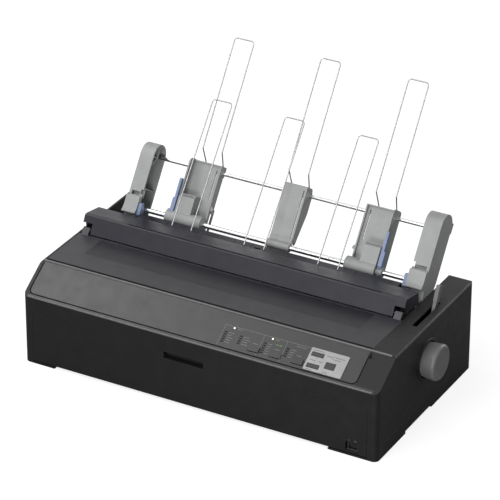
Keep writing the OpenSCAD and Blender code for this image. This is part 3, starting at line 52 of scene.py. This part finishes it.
# ---------- places taken from the frame ----------

case_low, case_high = (Vector(c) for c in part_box("lower_case"))
CASE_MID_X = (case_low.x + case_high.x) / 2
CASE_FRONT_Y = case_low.y


def body_point(x, y, z):
    """A point given in mm from the middle of the case's front edge, on the floor."""
    return Vector((CASE_MID_X + x * MM, CASE_FRONT_Y + y * MM, z * MM))


# The control slope: its normal is against the push of a button, and button A's place lies on it.
SLOPE_N = -Vector(joints["press_a"]["axis"]).normalized()
SLOPE_UP = SLOPE_N.cross(ACROSS)
BUTTON_A = Vector(joints["press_a"]["pos_m"])
BUTTON_A_X, BUTTON_A_UP = 90.5, 18.2


def slope_point(x, up, out=0.0):
    """A point given in mm across, up and out of the control slope."""
    return (BUTTON_A + Vector(((x - BUTTON_A_X) * MM, 0, 0))
            + SLOPE_UP * ((up - BUTTON_A_UP) * MM) + SLOPE_N * (out * MM))


# ---------- material parts ----------

def new_material(name):
    """A node material with a linked shader, and the object's own coordinates."""
    mat = bpy.data.materials.new(name)
    mat.use_nodes = True
    tree = mat.node_tree
    tree.nodes.clear()
    out = tree.nodes.new("ShaderNodeOutputMaterial")
    shader = tree.nodes.new("ShaderNodeBsdfPrincipled")
    tree.links.new(shader.outputs["BSDF"], out.inputs["Surface"])
    coord = tree.nodes.new("ShaderNodeTexCoord")
    return mat, tree, shader, coord.outputs["Object"]


def noise(tree, coord, scale, detail=3.0, rough=0.5, stretch=None):
    """A noise texture's value, stretched along an axis where asked."""
    if stretch:
        mapping = tree.nodes.new("ShaderNodeMapping")
        mapping.inputs["Scale"].default_value = stretch
        tree.links.new(coord, mapping.inputs["Vector"])
        coord = mapping.outputs["Vector"]
    tex = tree.nodes.new("ShaderNodeTexNoise")
    tex.inputs["Scale"].default_value = scale
    tex.inputs["Detail"].default_value = detail
    tex.inputs["Roughness"].default_value = rough
    tree.links.new(coord, tex.inputs["Vector"])
    return tex.outputs["Fac"]


def spread(tree, value, low, high, start=0.3, end=0.7):
    """A value from low to high as the given one goes from start to end."""
    node = tree.nodes.new("ShaderNodeMapRange")
    node.inputs["From Min"].default_value = start
    node.inputs["From Max"].default_value = end
    node.inputs["To Min"].default_value = low
    node.inputs["To Max"].default_value = high
    tree.links.new(value, node.inputs["Value"])
    return node.outputs["Result"]


def mix_colour(tree, fac, a, b):
    """A colour between a and b, by a factor's socket. Each colour is a socket or three numbers."""
    node = tree.nodes.new("ShaderNodeMix")
    node.data_type = "RGBA"
    sockets = [s for s in node.inputs if s.type == "RGBA"]
    for socket, colour in zip(sockets, (a, b)):
        if isinstance(colour, tuple):
            socket.default_value = (*colour, 1)
        else:
            tree.links.new(colour, socket)
    tree.links.new(fac, node.inputs["Factor"])
    return [s for s in node.outputs if s.type == "RGBA"][0]


def rounded_normal(tree, radius):
    """The normal of a surface whose edges are rounded by radius."""
    bevel = tree.nodes.new("ShaderNodeBevel")
    bevel.samples = 4
    bevel.inputs["Radius"].default_value = radius
    return bevel.outputs["Normal"]


def edge_wear_and_highlight(tree, rounded, reach):
    """A value up to reach along sharp edges, where the rounded normal turns, and 0 on flats."""
    geometry = tree.nodes.new("ShaderNodeNewGeometry")
    dot = tree.nodes.new("ShaderNodeVectorMath")
    dot.operation = "DOT_PRODUCT"
    tree.links.new(rounded, dot.inputs[0])
    tree.links.new(geometry.outputs["Normal"], dot.inputs[1])
    edge = spread(tree, dot.outputs["Value"], low=1.0, high=0.0, start=0.75, end=0.99)
    scale = tree.nodes.new("ShaderNodeMath")
    scale.operation = "MULTIPLY"
    scale.inputs[1].default_value = reach
    tree.links.new(edge, scale.inputs[0])
    return scale.outputs["Value"]


def bump(tree, height, distance, normal=None):
    """A normal pushed by a height value over that distance in metres."""
    node = tree.nodes.new("ShaderNodeBump")
    node.inputs["Strength"].default_value = 1.0
    node.inputs["Distance"].default_value = distance
    tree.links.new(height, node.inputs["Height"])
    if normal is not None:
        tree.links.new(normal, node.inputs["Normal"])
    return node.outputs["Normal"]


def finish(tree, shader, colour, rough, normal):
    """Links a colour, a roughness and a normal to the shader."""
    tree.links.new(colour, shader.inputs["Base Color"])
    tree.links.new(rough, shader.inputs["Roughness"])
    tree.links.new(normal, shader.inputs["Normal"])


# ---------- kinds of material ----------

MOTTLE_DARK, MOTTLE_LIGHT = 0.90, 1.10
# Edges are painted lighter: partly wear, partly a painted highlight where rounded edges catch the light
EDGE_WEAR_AND_HIGHLIGHT_LIFT, EDGE_WEAR_AND_HIGHLIGHT_ADD, EDGE_WEAR_AND_HIGHLIGHT_REACH = 1.35, 0.004, 0.55
SPECK_GRAINS, SPECK_SHARE = 1.7, 0.35


def plastic(name, colour, rough, grain=0.5 * MM, depth=0.03 * MM, edge=0.5 * MM,
            specular=0.5, coat=0.0):
    """Moulded plastic: spark-eroded grain, slight mottling, dulled patches, and edges painted lighter, partly as
    wear and partly as a painted highlight.
    """
    mat, tree, shader, coord = new_material(name)
    dark = tuple(c * MOTTLE_DARK for c in colour)
    light = tuple(c * MOTTLE_LIGHT for c in colour)
    worn_and_lit = tuple(min(1.0, c * EDGE_WEAR_AND_HIGHLIGHT_LIFT + EDGE_WEAR_AND_HIGHLIGHT_ADD) for c in colour)
    mottle = noise(tree, coord, scale=38, detail=4.0)
    speck = noise(tree, coord, scale=1 / (grain * SPECK_GRAINS), detail=2.0, rough=0.6)
    patches = noise(tree, coord, scale=55, detail=5.0)
    fine = noise(tree, coord, scale=1 / grain, detail=2.0, rough=0.55)
    rounded = rounded_normal(tree, edge)
    base = mix_colour(tree, spread(tree, mottle, 0.0, 1.0), dark, light)
    base = mix_colour(tree, spread(tree, speck, 0.0, SPECK_SHARE), base, light)
    # Lighter edges: partly wear, partly painted highlight
    base = mix_colour(tree, edge_wear_and_highlight(tree, rounded, EDGE_WEAR_AND_HIGHLIGHT_REACH), base, worn_and_lit)
    finish(tree, shader, base, spread(tree, patches, rough - 0.05, rough + 0.06),
           bump(tree, fine, depth, rounded))
    shader.inputs["Specular IOR Level"].default_value = specular
    shader.inputs["Coat Weight"].default_value = coat
    return mat


METAL_STAIN, METAL_LINE, METAL_EDGE = 0.12, 0.4 * MM, 0.3 * MM


def metal(name, colour, rough, stretch, depth=0.01 * MM):
    """Bare metal: drawn or ground lines, faint stains and softened edges."""
    mat, tree, shader, coord = new_material(name)
    dull = tuple(c * (1 - METAL_STAIN) for c in colour)
    lines = noise(tree, coord, scale=1 / METAL_LINE, detail=4.0, rough=0.6, stretch=stretch)
    patches = noise(tree, coord, scale=60, detail=4.0)
    finish(tree, shader,
           mix_colour(tree, spread(tree, patches, 0.0, 1.0), dull, colour),
           spread(tree, lines, rough - 0.06, rough + 0.08),
           bump(tree, lines, depth, rounded_normal(tree, METAL_EDGE)))
    shader.inputs["Metallic"].default_value = 1.0
    return mat


def smoked(name, dark, light):
    """Smoked clear plastic, nearly opaque, with a fine moulded haze."""
    mat, tree, shader, coord = new_material(name)
    haze = noise(tree, coord, scale=90)
    fine = noise(tree, coord, scale=900, detail=2.0)
    finish(tree, shader,
           mix_colour(tree, spread(tree, haze, 0.0, 1.0), dark, light),
           spread(tree, haze, 0.30, 0.38),
           bump(tree, fine, 0.01 * MM))
    shader.inputs["Alpha"].default_value = 0.92
    shader.inputs["Specular IOR Level"].default_value = 0.40
    return mat


CLOUD_DARK = 0.85


def lit_lens(name, colour, strength):
    """A light guide's end with light behind it, a little uneven."""
    mat, tree, shader, coord = new_material(name)
    cloud = noise(tree, coord, scale=400)
    fine = noise(tree, coord, scale=1500, detail=2.0)
    dim = tuple(c * CLOUD_DARK for c in colour)
    glow = mix_colour(tree, spread(tree, cloud, 0.0, 1.0), dim, colour)
    finish(tree, shader, glow, spread(tree, cloud, 0.20, 0.30), bump(tree, fine, 0.005 * MM))
    tree.links.new(glow, shader.inputs["Emission Color"])
    shader.inputs["Emission Strength"].default_value = strength
    return mat


MASK_DARK, MASK_LIGHT = (0.010, 0.085, 0.040), (0.016, 0.120, 0.055)
TRACK, BOARD_DUST = (0.030, 0.190, 0.090), (0.09, 0.10, 0.08)


def circuit_board(name):
    """Green board: tracks as a fine angular pattern under a glossy mask."""
    mat, tree, shader, coord = new_material(name)
    brick = tree.nodes.new("ShaderNodeTexBrick")
    brick.inputs["Scale"].default_value = 140
    brick.inputs["Mortar Size"].default_value = 0.06
    for socket, colour in (("Color1", MASK_DARK), ("Color2", MASK_LIGHT), ("Mortar", TRACK)):
        brick.inputs[socket].default_value = (*colour, 1)
    tree.links.new(coord, brick.inputs["Vector"])
    dust = noise(tree, coord, scale=80, detail=4.0)
    finish(tree, shader,
           mix_colour(tree, spread(tree, dust, 0.0, 0.3), brick.outputs["Color"], BOARD_DUST),
           spread(tree, dust, 0.25, 0.45),
           bump(tree, brick.outputs["Fac"], 0.04 * MM))
    return mat


# ---------- the materials, and what wears them ----------

CASE = plastic("case_black", (0.0078, 0.0078, 0.0080), 0.46,
               depth=0.035 * MM, edge=0.9 * MM, specular=0.25)
PANEL = plastic("slope_grey", (0.0125, 0.0125, 0.0125), 0.43)
# Far lighter than the slope's plastic: painted highlight of the rounded lips
LIP_PAINTED_HIGHLIGHT = plastic("lip_painted_highlight", (0.1300, 0.1300, 0.1310), 0.30,
              depth=0.006 * MM, specular=0.7, coat=0.3)
COVER = plastic("cover_blue_grey", (0.0100, 0.0094, 0.0150), 0.36,
                depth=0.018 * MM, edge=0.9 * MM, specular=0.38)
COVER_FRAME = plastic("cover_frame", (0.0200, 0.0195, 0.0245), 0.40,
                      depth=0.018 * MM, edge=0.9 * MM, specular=0.42)
PLATE = plastic("plate_light_grey", (0.275, 0.28, 0.275), 0.50, grain=0.35 * MM)
BUTTON = plastic("button_black", (0.012, 0.012, 0.013), 0.38,
                 grain=0.3 * MM, depth=0.012 * MM)
GUIDE = plastic("guide_grey", (0.250, 0.256, 0.254), 0.48, depth=0.022 * MM)
BLUE = plastic("lever_blue", (0.145, 0.190, 0.310), 0.42, grain=0.4 * MM)
KNOB = plastic("knob_grey", (0.115, 0.115, 0.118), 0.46, depth=0.020 * MM)
BLACK = plastic("inner_black", (0.010, 0.010, 0.011), 0.55)
NATURAL = plastic("gear_natural", (0.60, 0.57, 0.49), 0.40,
                  grain=0.3 * MM, depth=0.010 * MM)
RUBBER = plastic("platen_rubber", (0.013, 0.013, 0.013), 0.68,
                 grain=0.25 * MM, depth=0.020 * MM, edge=0.8 * MM)
MOTOR = plastic("motor_paint", (0.035, 0.035, 0.038), 0.42,
                grain=0.3 * MM, depth=0.015 * MM)
PRINT = plastic("panel_print", (0.135, 0.135, 0.132), 0.55,
                grain=0.2 * MM, depth=0.004 * MM, edge=0.1 * MM)
PRINT_DARK = plastic("plate_print", (0.060, 0.060, 0.062), 0.55,
                     grain=0.2 * MM, depth=0.004 * MM, edge=0.1 * MM)
# Near-black sheet laid where gaps and steps fall into shade: painted shade
GROOVE_PAINTED_SHADE = plastic("groove_painted_shade", (0.0040, 0.0040, 0.0040), 0.80,
                 grain=0.3 * MM, depth=0.01 * MM, specular=0.1)
LENS = plastic("lens_off", (0.0050, 0.0100, 0.0050), 0.50,
               grain=0.2 * MM, depth=0.004 * MM, edge=0.2 * MM, specular=0.15)
LENS_LIT = lit_lens("lens_lit", (0.86, 0.98, 0.66), strength=0.9)
LENS_FAINT = lit_lens("lens_faint", (0.090, 0.140, 0.060), strength=0.25)
WINDOW = smoked("smoked_window", (0.0075, 0.0072, 0.0110), (0.0100, 0.0096, 0.0145))
PIN = metal("pin_dark_steel", (0.055, 0.055, 0.058), 0.45, stretch=(0.1, 1, 1))
WIRE = metal("wire_bright", (0.36, 0.36, 0.37), 0.34, stretch=(1, 1, 0.1))
SHAFT = metal("shaft_chrome", (0.78, 0.78, 0.80), 0.16,
              stretch=(0.06, 1, 1), depth=0.004 * MM)
ZINC = metal("sheet_zinc", (0.30, 0.31, 0.32), 0.46, stretch=(1, 0.2, 1))
BRASS = metal("turned_brass", (0.60, 0.44, 0.18), 0.25, stretch=(0.3, 1, 1))
BOARD = circuit_board("board_green")

LOOKS = {
    "case": CASE, "panel": PANEL, "cover": COVER, "smoked": WINDOW, "plate": PLATE,
    "button": BUTTON, "lens": LENS, "guide_grey": GUIDE, "lever_blue": BLUE, "wire": WIRE,
    "shaft": SHAFT, "sheet_steel": ZINC, "platen_rubber": RUBBER, "knob": KNOB,
    "gear_plastic": NATURAL, "brass": BRASS, "motor": MOTOR, "black_plastic": BLACK,
    "board": BOARD,
}
OWN_LOOKS = {"printer_cover": COVER_FRAME, "hinge_pins": PIN}
SLOT_OF = {part["node"]: part["material_slot"] for part in frame["record"]["subparts"]}
for node_name, obj in nodes.items():
    obj.data.materials.clear()
    obj.data.materials.append(OWN_LOOKS.get(node_name, LOOKS[SLOT_OF[node_name]]))

# The boards: the plates stay green, what stands on them is black, the sockets behind are metal.
# A plate's faces are the flat ones over BOARD_AREA square metres.
BOARD_AREA, BOARD_SLACK, SOCKET_DEPTH = 0.004, 0.1 * MM, 14 * MM
FACES_UP, FACES_BACK = 0.99, 0.9
BOARD_BLACK, BOARD_METAL = 1, 2
boards = nodes["circuit_boards"].data
boards.materials.append(BLACK)
boards.materials.append(ZINC)
plate_z = [face.center.z for face in boards.polygons
           if abs(face.normal.z) > FACES_UP and face.area > BOARD_AREA]
back_y = max(v.co.y for v in boards.vertices)
for face in boards.polygons:
    if plate_z and min(plate_z) - BOARD_SLACK <= face.center.z <= max(plate_z) + BOARD_SLACK:
        continue
    socket = face.center.y > back_y - SOCKET_DEPTH and abs(face.normal.y) < FACES_BACK
    face.material_index = BOARD_METAL if socket else BOARD_BLACK

# The light guides: the two round ones are lit, the short pair is lit faintly
LIT_X, LIT_UP, LIT_REACH = (46.5, 111.8), 40.0, 3
FAINT_X, FAINT_UP = (119.0, 133.0), 30
LIGHT_FULL, LIGHT_FAINT = 1, 2
lights = nodes["led_lenses"].data
lights.materials.append(LENS_LIT)
lights.materials.append(LENS_FAINT)
for face in lights.polygons:
    away = face.center - BUTTON_A
    x = away.x / MM + BUTTON_A_X
    up = away.dot(SLOPE_UP) / MM + BUTTON_A_UP
    if up > LIT_UP and min(abs(x - at) for at in LIT_X) < LIT_REACH:
        face.material_index = LIGHT_FULL
    elif FAINT_X[0] < x < FAINT_X[1] and up > FAINT_UP:
        face.material_index = LIGHT_FAINT


# ---------- shapes for the pieces of the scene ----------

def mesh_object(name, bm, material, body, smooth=False):
    """Puts a finished bmesh into the scene, gives it a finish and lets it ride on a body."""
    mesh = bpy.data.meshes.new(name)
    bm.normal_update()
    bm.to_mesh(mesh)
    bm.free()
    obj = bpy.data.objects.new(name, mesh)
    bpy.context.scene.collection.objects.link(obj)
    mesh.materials.append(material)
    for face in mesh.polygons:
        face.use_smooth = smooth
    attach(obj, body)


BLOCK_FACES = ((0, 2, 3, 1), (4, 5, 7, 6), (0, 1, 5, 4), (2, 6, 7, 3), (0, 4, 6, 2), (1, 3, 7, 5))


def add_block(bm, centre, across, up, size):
    """A small block round centre. across and up are unit vectors, size is (w, h, t) in mm."""
    out = across.cross(up)
    half = [v * (s * MM / 2) for v, s in zip((across, up, out), size)]
    corners = [bm.verts.new(centre + half[0] * a + half[1] * b + half[2] * c)
               for c in (-1, 1) for b in (-1, 1) for a in (-1, 1)]
    for face in BLOCK_FACES:
        bm.faces.new([corners[i] for i in face])


def bead(bm, x0, x1, y, z, r, start=-60, end=150, steps=10):
    """A round lip along X at (y, z) of the case, between two angles in degrees over the front."""
    rings = []
    for x in (x0, x1):
        ring = []
        for i in range(steps + 1):
            a = math.radians(start + (end - start) * i / steps)
            ring.append(bm.verts.new(body_point(x, y - r * math.cos(a), z + r * math.sin(a))))
        rings.append(ring)
    for k in range(steps):
        bm.faces.new((rings[0][k], rings[1][k], rings[1][k + 1], rings[0][k + 1]))
    for ring in rings:
        bm.faces.new(ring)


def tube_ring(bm, centre, axis, r_in, r_out, depth, steps=72):
    """A flat ring round an axis, with a bevelled outer edge. Radii and depth are in mm."""
    u = axis.orthogonal().normalized()
    v = axis.cross(u)
    profile = ((r_in, 0), (r_in, depth), (r_out - depth * 0.6, depth),
               (r_out, depth * 0.4), (r_out, 0))
    loops = []
    for i in range(steps):
        a = 2 * math.pi * i / steps
        out = u * math.cos(a) + v * math.sin(a)
        loops.append([bm.verts.new(centre + out * (r * MM) + axis * (h * MM))
                      for r, h in profile])
    for i in range(steps):
        first, second = loops[i], loops[(i + 1) % steps]
        for k in range(len(profile) - 1):
            bm.faces.new((first[k], second[k], second[k + 1], first[k + 1]))


RIBBON_ROOT = -0.05


def ribbon(bm, points, width, out=0.12):
    """A thin flat band along points (x, up) on the control slope, standing out that many mm."""
    edges = []
    for i, (x, up) in enumerate(points):
        x0, up0 = points[max(i - 1, 0)]
        x1, up1 = points[min(i + 1, len(points) - 1)]
        along = Vector((x1 - x0, up1 - up0)).normalized()
        side = Vector((-along.y, along.x)) * (width / 2)
        edges.append([bm.verts.new(slope_point(x + side.x * k, up + side.y * k, h))
                      for k, h in ((1, RIBBON_ROOT), (1, out), (-1, out), (-1, RIBBON_ROOT))])
    for first, second in zip(edges, edges[1:]):
        for k in range(3):
            bm.faces.new((first[k], first[k + 1], second[k + 1], second[k]))


def arc(x, up, r, start, end, steps=8):
    """Points on a round corner of the slope, angles in degrees."""
    angles = [math.radians(start + (end - start) * i / steps) for i in range(steps + 1)]
    return [(x + r * math.cos(a), up + r * math.sin(a)) for a in angles]


# ---------- pieces of the scene ----------

# Lips along the top and the foot of the control slope, coloured much lighter than the slope: painted highlight
TOP_LIP = {"x0": -302.0, "x1": 300.5, "y": 57.4, "z": 152.8, "r": 1.6}
FOOT_LIP = {"x0": -299.0, "x1": 296.0, "y": 1.55, "z": 117.1, "r": 1.5, "start": -80, "end": 120}
bm = bmesh.new()
bead(bm, **TOP_LIP)
bead(bm, **FOOT_LIP)
mesh_object("slope_lips", bm, LIP_PAINTED_HIGHLIGHT, "case", smooth=True)

# Dark strip along the front edge of the printer cover: painted shade of the step there
STEP_IN, STEP_Z, STEP_SHORTER, STEP_DEPTH, STEP_THICK = 2.3, 153.0, 1.0, 4.2, 0.24
cover_low, cover_high = (Vector(c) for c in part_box("printer_cover"))
step_centre = Vector(((cover_low.x + cover_high.x) / 2, cover_low.y + STEP_IN * MM, STEP_Z * MM))
step_width = (cover_high.x - cover_low.x) / MM - STEP_SHORTER
bm = bmesh.new()
add_block(bm, step_centre, ACROSS, BACK, (step_width, STEP_DEPTH, STEP_THICK))
mesh_object("cover_step_painted_shade", bm, GROOVE_PAINTED_SHADE, "printer_cover_body")

# Collar that closes the gap round the platen knob
CASE_RIGHT, COLLAR_IN, COLLAR_OUT, COLLAR_DEPTH = 307.0, 29.3, 33.2, 1.4
knob_axis = Vector(joints["platen_turn"]["pos_m"])
collar_centre = Vector((body_point(CASE_RIGHT, 0, 0).x, knob_axis.y, knob_axis.z))
bm = bmesh.new()
tube_ring(bm, collar_centre, ACROSS, COLLAR_IN, COLLAR_OUT, COLLAR_DEPTH)
mesh_object("knob_collar", bm, CASE, "case")

# Strip that closes the slit under the switch's window
STRIP_IN, STRIP_BELOW, STRIP_SIZE = 3.22, 1.55, (26.0, 4.5, 0.36)
switch_low, switch_high = (Vector(c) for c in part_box("switch_body"))
switch_x = (switch_low.x + switch_high.x) / 2
strip_centre = Vector((switch_x, CASE_FRONT_Y + STRIP_IN * MM, switch_low.z - STRIP_BELOW * MM))
bm = bmesh.new()
add_block(bm, strip_centre, ACROSS, UP, STRIP_SIZE)
mesh_object("window_lip", bm, BLACK, "front_cover_body")

# The switch's two marks over its window: a stroke and a ring
MARK_UP = 27.0 * MM
STROKE_X, STROKE_IN, STROKE_SIZE = -5.0, 0.04, (0.8, 3.4, 0.1)
RING_X, RING_IN, RING_R_IN, RING_R_OUT, RING_DEPTH, RING_STEPS = 5.5, 0.09, 1.1, 1.9, 0.1, 24
stroke_centre = Vector((switch_x + STROKE_X * MM, CASE_FRONT_Y + STROKE_IN * MM, MARK_UP))
ring_centre = Vector((switch_x + RING_X * MM, CASE_FRONT_Y + RING_IN * MM, MARK_UP))
bm = bmesh.new()
add_block(bm, stroke_centre, ACROSS, UP, STROKE_SIZE)
tube_ring(bm, ring_centre, -BACK, RING_R_IN, RING_R_OUT, RING_DEPTH, RING_STEPS)
mesh_object("switch_marks", bm, PRINT_DARK, "front_cover_body")

# Dark band round the panel's left, lower and right sides, with rounded corners: painted shade of the seam
PANEL_LEFT, PANEL_RIGHT, PANEL_LOW, SLOPE_TOP, CORNER_R = -300.5, 266.0, 7.2, 64.0, 9.0
SEAM_W, SEAM_OUT = 1.9, 0.14
bm = bmesh.new()
ribbon(bm, [(PANEL_LEFT, SLOPE_TOP)]
       + arc(PANEL_LEFT + CORNER_R, PANEL_LOW + CORNER_R, CORNER_R, 180, 270)
       + arc(PANEL_RIGHT - CORNER_R, PANEL_LOW + CORNER_R, CORNER_R, -90, 0)
       + [(PANEL_RIGHT, SLOPE_TOP)], SEAM_W, SEAM_OUT)
mesh_object("panel_seam_painted_shade", bm, GROOVE_PAINTED_SHADE, "case")

# Smooth band between the seam and the foot of the slope
BAND_X0, BAND_X1, BAND_MID, BAND_W, BAND_OUT = -299.5, 298.0, 3.7, 4.6, 0.08
bm = bmesh.new()
ribbon(bm, [(BAND_X0, BAND_MID), (BAND_X1, BAND_MID)], BAND_W, BAND_OUT)
mesh_object("slope_band", bm, PANEL, "case")

# Printed frame of the panel, open below
LINE_W = 0.55
FRAME_X0, FRAME_X1, FRAME_LOW, FRAME_TOP = 31.0, 177.0, 9.5, 45.5
DIVIDERS = (97.5, 136.5)
bm = bmesh.new()
ribbon(bm, [(FRAME_X0, FRAME_LOW), (FRAME_X0, FRAME_TOP)], LINE_W)
ribbon(bm, [(FRAME_X0, FRAME_TOP), (FRAME_X1, FRAME_TOP)], LINE_W)
for x in DIVIDERS:
    ribbon(bm, [(x, FRAME_LOW), (x, FRAME_TOP)], LINE_W)

# Plain dashes where the panel has its small marks: x from, x to, up
MARKS = [(52.0, 59.0, 42.6), (117.0, 124.0, 42.6), (153.0, 170.0, 42.0)]
# Beside each comb of light guides: its x, the lowest dash, the number of dashes, the longest
COMBS = ((36.4, 17.3, 5, 11.5), (62.8, 20.8, 4, 15.0),
         (103.6, 16.5, 5, 8.5), (141.7, 21.7, 4, 10.0))
COMB_GAP, COMB_PITCH, SHORTEST = 4.4, 4.15, 0.6
for x, low, count, longest in COMBS:
    for i in range(count):
        length = longest * rng.uniform(SHORTEST, 1.0)
        MARKS.append((x + COMB_GAP, x + COMB_GAP + length, low + i * COMB_PITCH))
# Over each square button of the slope
BUTTONS_X, OVER_BUTTON, DASH_LEFT, DASH_RIGHT = (90.5, 127.3, 164.5), 27.4, -5.0, 3.0
MARKS += [(x + DASH_LEFT, x + DASH_RIGHT, OVER_BUTTON) for x in BUTTONS_X]
DASH_W, DASH_OUT = 0.8, 0.10
for x0, x1, up in MARKS:
    ribbon(bm, [(x0, up), (x1, up)], DASH_W, DASH_OUT)
mesh_object("panel_print", bm, PRINT, "case")

# Dashes and small dots on the light plate
PLATE_MARKS = [(181.0, 199.0, 44.0), (205.0, 214.0, 39.4), (219.0, 235.0, 40.2),
               (219.0, 229.0, 36.4), (181.5, 192.0, 27.0), (196.0, 203.0, 27.0),
               (182.0, 191.0, 11.2), (209.0, 217.0, 12.2)]
PLATE_DOTS = ((190.5, 31.6), (190.5, 23.4), (216.0, 40.6), (216.0, 36.6))
PLATE_OUT, PLATE_DASH_W, DOT_HALF, DOT_W = 0.92, 0.75, 0.8, 1.4
bm = bmesh.new()
for x0, x1, up in PLATE_MARKS:
    ribbon(bm, [(x0, up), (x1, up)], PLATE_DASH_W, PLATE_OUT)
for x, up in PLATE_DOTS:
    ribbon(bm, [(x - DOT_HALF, up), (x + DOT_HALF, up)], DOT_W, PLATE_OUT)
mesh_object("plate_print", bm, PRINT_DARK, "case")

# ---------- floor, light and camera ----------

FLOOR_HALF = 30.0
FLOOR_GREY, FLOOR_GLOW = 0.30, 0.80
ROOM_LIGHT, ROOM_WHITE = 0.35, 1.0
WHITE = (1, 1, 1, 1)

bm = bmesh.new()
bm.faces.new([bm.verts.new((x * FLOOR_HALF, y * FLOOR_HALF, 0))
              for x, y in ((-1, -1), (1, -1), (1, 1), (-1, 1))])
floor_mesh = bpy.data.meshes.new("floor")
bm.to_mesh(floor_mesh)
bm.free()
floor = bpy.data.objects.new("floor", floor_mesh)
bpy.context.scene.collection.objects.link(floor)


def floor_material():
    """Pale floor that keeps the shadow. The camera sees it nearly white, other rays see grey."""
    mat = bpy.data.materials.new("floor_pale")
    mat.use_nodes = True
    tree = mat.node_tree
    tree.nodes.clear()
    out = tree.nodes.new("ShaderNodeOutputMaterial")
    diffuse = tree.nodes.new("ShaderNodeBsdfDiffuse")
    diffuse.inputs["Color"].default_value = (FLOOR_GREY, FLOOR_GREY, FLOOR_GREY, 1)
    glow = tree.nodes.new("ShaderNodeEmission")
    glow.inputs["Color"].default_value = WHITE
    glow.inputs["Strength"].default_value = FLOOR_GLOW
    both = tree.nodes.new("ShaderNodeAddShader")
    paths = tree.nodes.new("ShaderNodeLightPath")
    pick = tree.nodes.new("ShaderNodeMixShader")
    tree.links.new(diffuse.outputs[0], both.inputs[0])
    tree.links.new(glow.outputs[0], both.inputs[1])
    tree.links.new(paths.outputs["Is Camera Ray"], pick.inputs["Fac"])
    tree.links.new(diffuse.outputs[0], pick.inputs[1])
    tree.links.new(both.outputs[0], pick.inputs[2])
    tree.links.new(pick.outputs[0], out.inputs["Surface"])
    return mat


floor_mesh.materials.append(floor_material())


def background(tree, strength):
    """A white background shader of that strength."""
    node = tree.nodes.new("ShaderNodeBackground")
    node.inputs["Color"].default_value = WHITE
    node.inputs["Strength"].default_value = strength
    return node.outputs[0]


def larger(tree, a, b):
    """The larger of two values."""
    node = tree.nodes.new("ShaderNodeMath")
    node.operation = "MAXIMUM"
    tree.links.new(a, node.inputs[0])
    tree.links.new(b, node.inputs[1])
    return node.outputs[0]


# The room: white to the camera, in gloss and through glass, and a dimmer fill light otherwise
world = bpy.data.worlds.new("studio")
bpy.context.scene.world = world
world.use_nodes = True
tree = world.node_tree
tree.nodes.clear()
world_out = tree.nodes.new("ShaderNodeOutputWorld")
paths = tree.nodes.new("ShaderNodeLightPath")
direct = larger(tree, paths.outputs["Is Camera Ray"], paths.outputs["Is Transmission Ray"])
mix = tree.nodes.new("ShaderNodeMixShader")
tree.links.new(larger(tree, direct, paths.outputs["Is Glossy Ray"]), mix.inputs["Fac"])
tree.links.new(background(tree, ROOM_LIGHT), mix.inputs[1])
tree.links.new(background(tree, ROOM_WHITE), mix.inputs[2])
tree.links.new(mix.outputs[0], world_out.inputs["Surface"])


def area_light(name, place, aim, size, power):
    """A soft rectangular lamp at place, turned to aim."""
    lamp = bpy.data.lights.new(name, "AREA")
    lamp.shape = "RECTANGLE"
    lamp.size, lamp.size_y = size
    lamp.energy = power
    obj = bpy.data.objects.new(name, lamp)
    obj.location = place
    obj.rotation_euler = (Vector(aim) - Vector(place)).to_track_quat("-Z", "Y").to_euler()
    bpy.context.scene.collection.objects.link(obj)


MIDDLE = (0, 0, 0.12)
area_light("overhead_left", (-1.30, -0.20, 1.45), (-0.25, 0.0, 0.15), size=(1.1, 1.1), power=17)
area_light("front_high", (-0.55, -2.3, 2.6), MIDDLE, size=(1.3, 1.3), power=40)
area_light("back_low", (0.9, 2.6, 1.0), MIDDLE, size=(1.6, 1.0), power=26)
area_light("front_low_right", (0.40, -1.5, 0.30), (0.25, 0, 0.06), size=(0.8, 0.45), power=14)

# Camera fitted to the photograph
AZIMUTH, ELEVATION, ROLL = 28.9, 28.7, 0.11
CAMERA_MM = (2098.6, -3633.8, 2575.2)
FOCAL_PX, IMAGE_PX, SENSOR = 3240.7, 500, 36.0
camera_data = bpy.data.cameras.new("photo_view")
camera_data.sensor_width = SENSOR
camera_data.lens = SENSOR * FOCAL_PX / IMAGE_PX
camera = bpy.data.objects.new("photo_view", camera_data)
camera.matrix_world = (Matrix.Translation(body_point(*CAMERA_MM))
                       @ Matrix.Rotation(math.radians(AZIMUTH), 4, "Z")
                       @ Matrix.Rotation(math.radians(90 - ELEVATION), 4, "X")
                       @ Matrix.Rotation(math.radians(ROLL), 4, "Z"))
bpy.context.scene.collection.objects.link(camera)
bpy.context.scene.camera = camera
bpy.context.scene.view_settings.view_transform = "Standard"
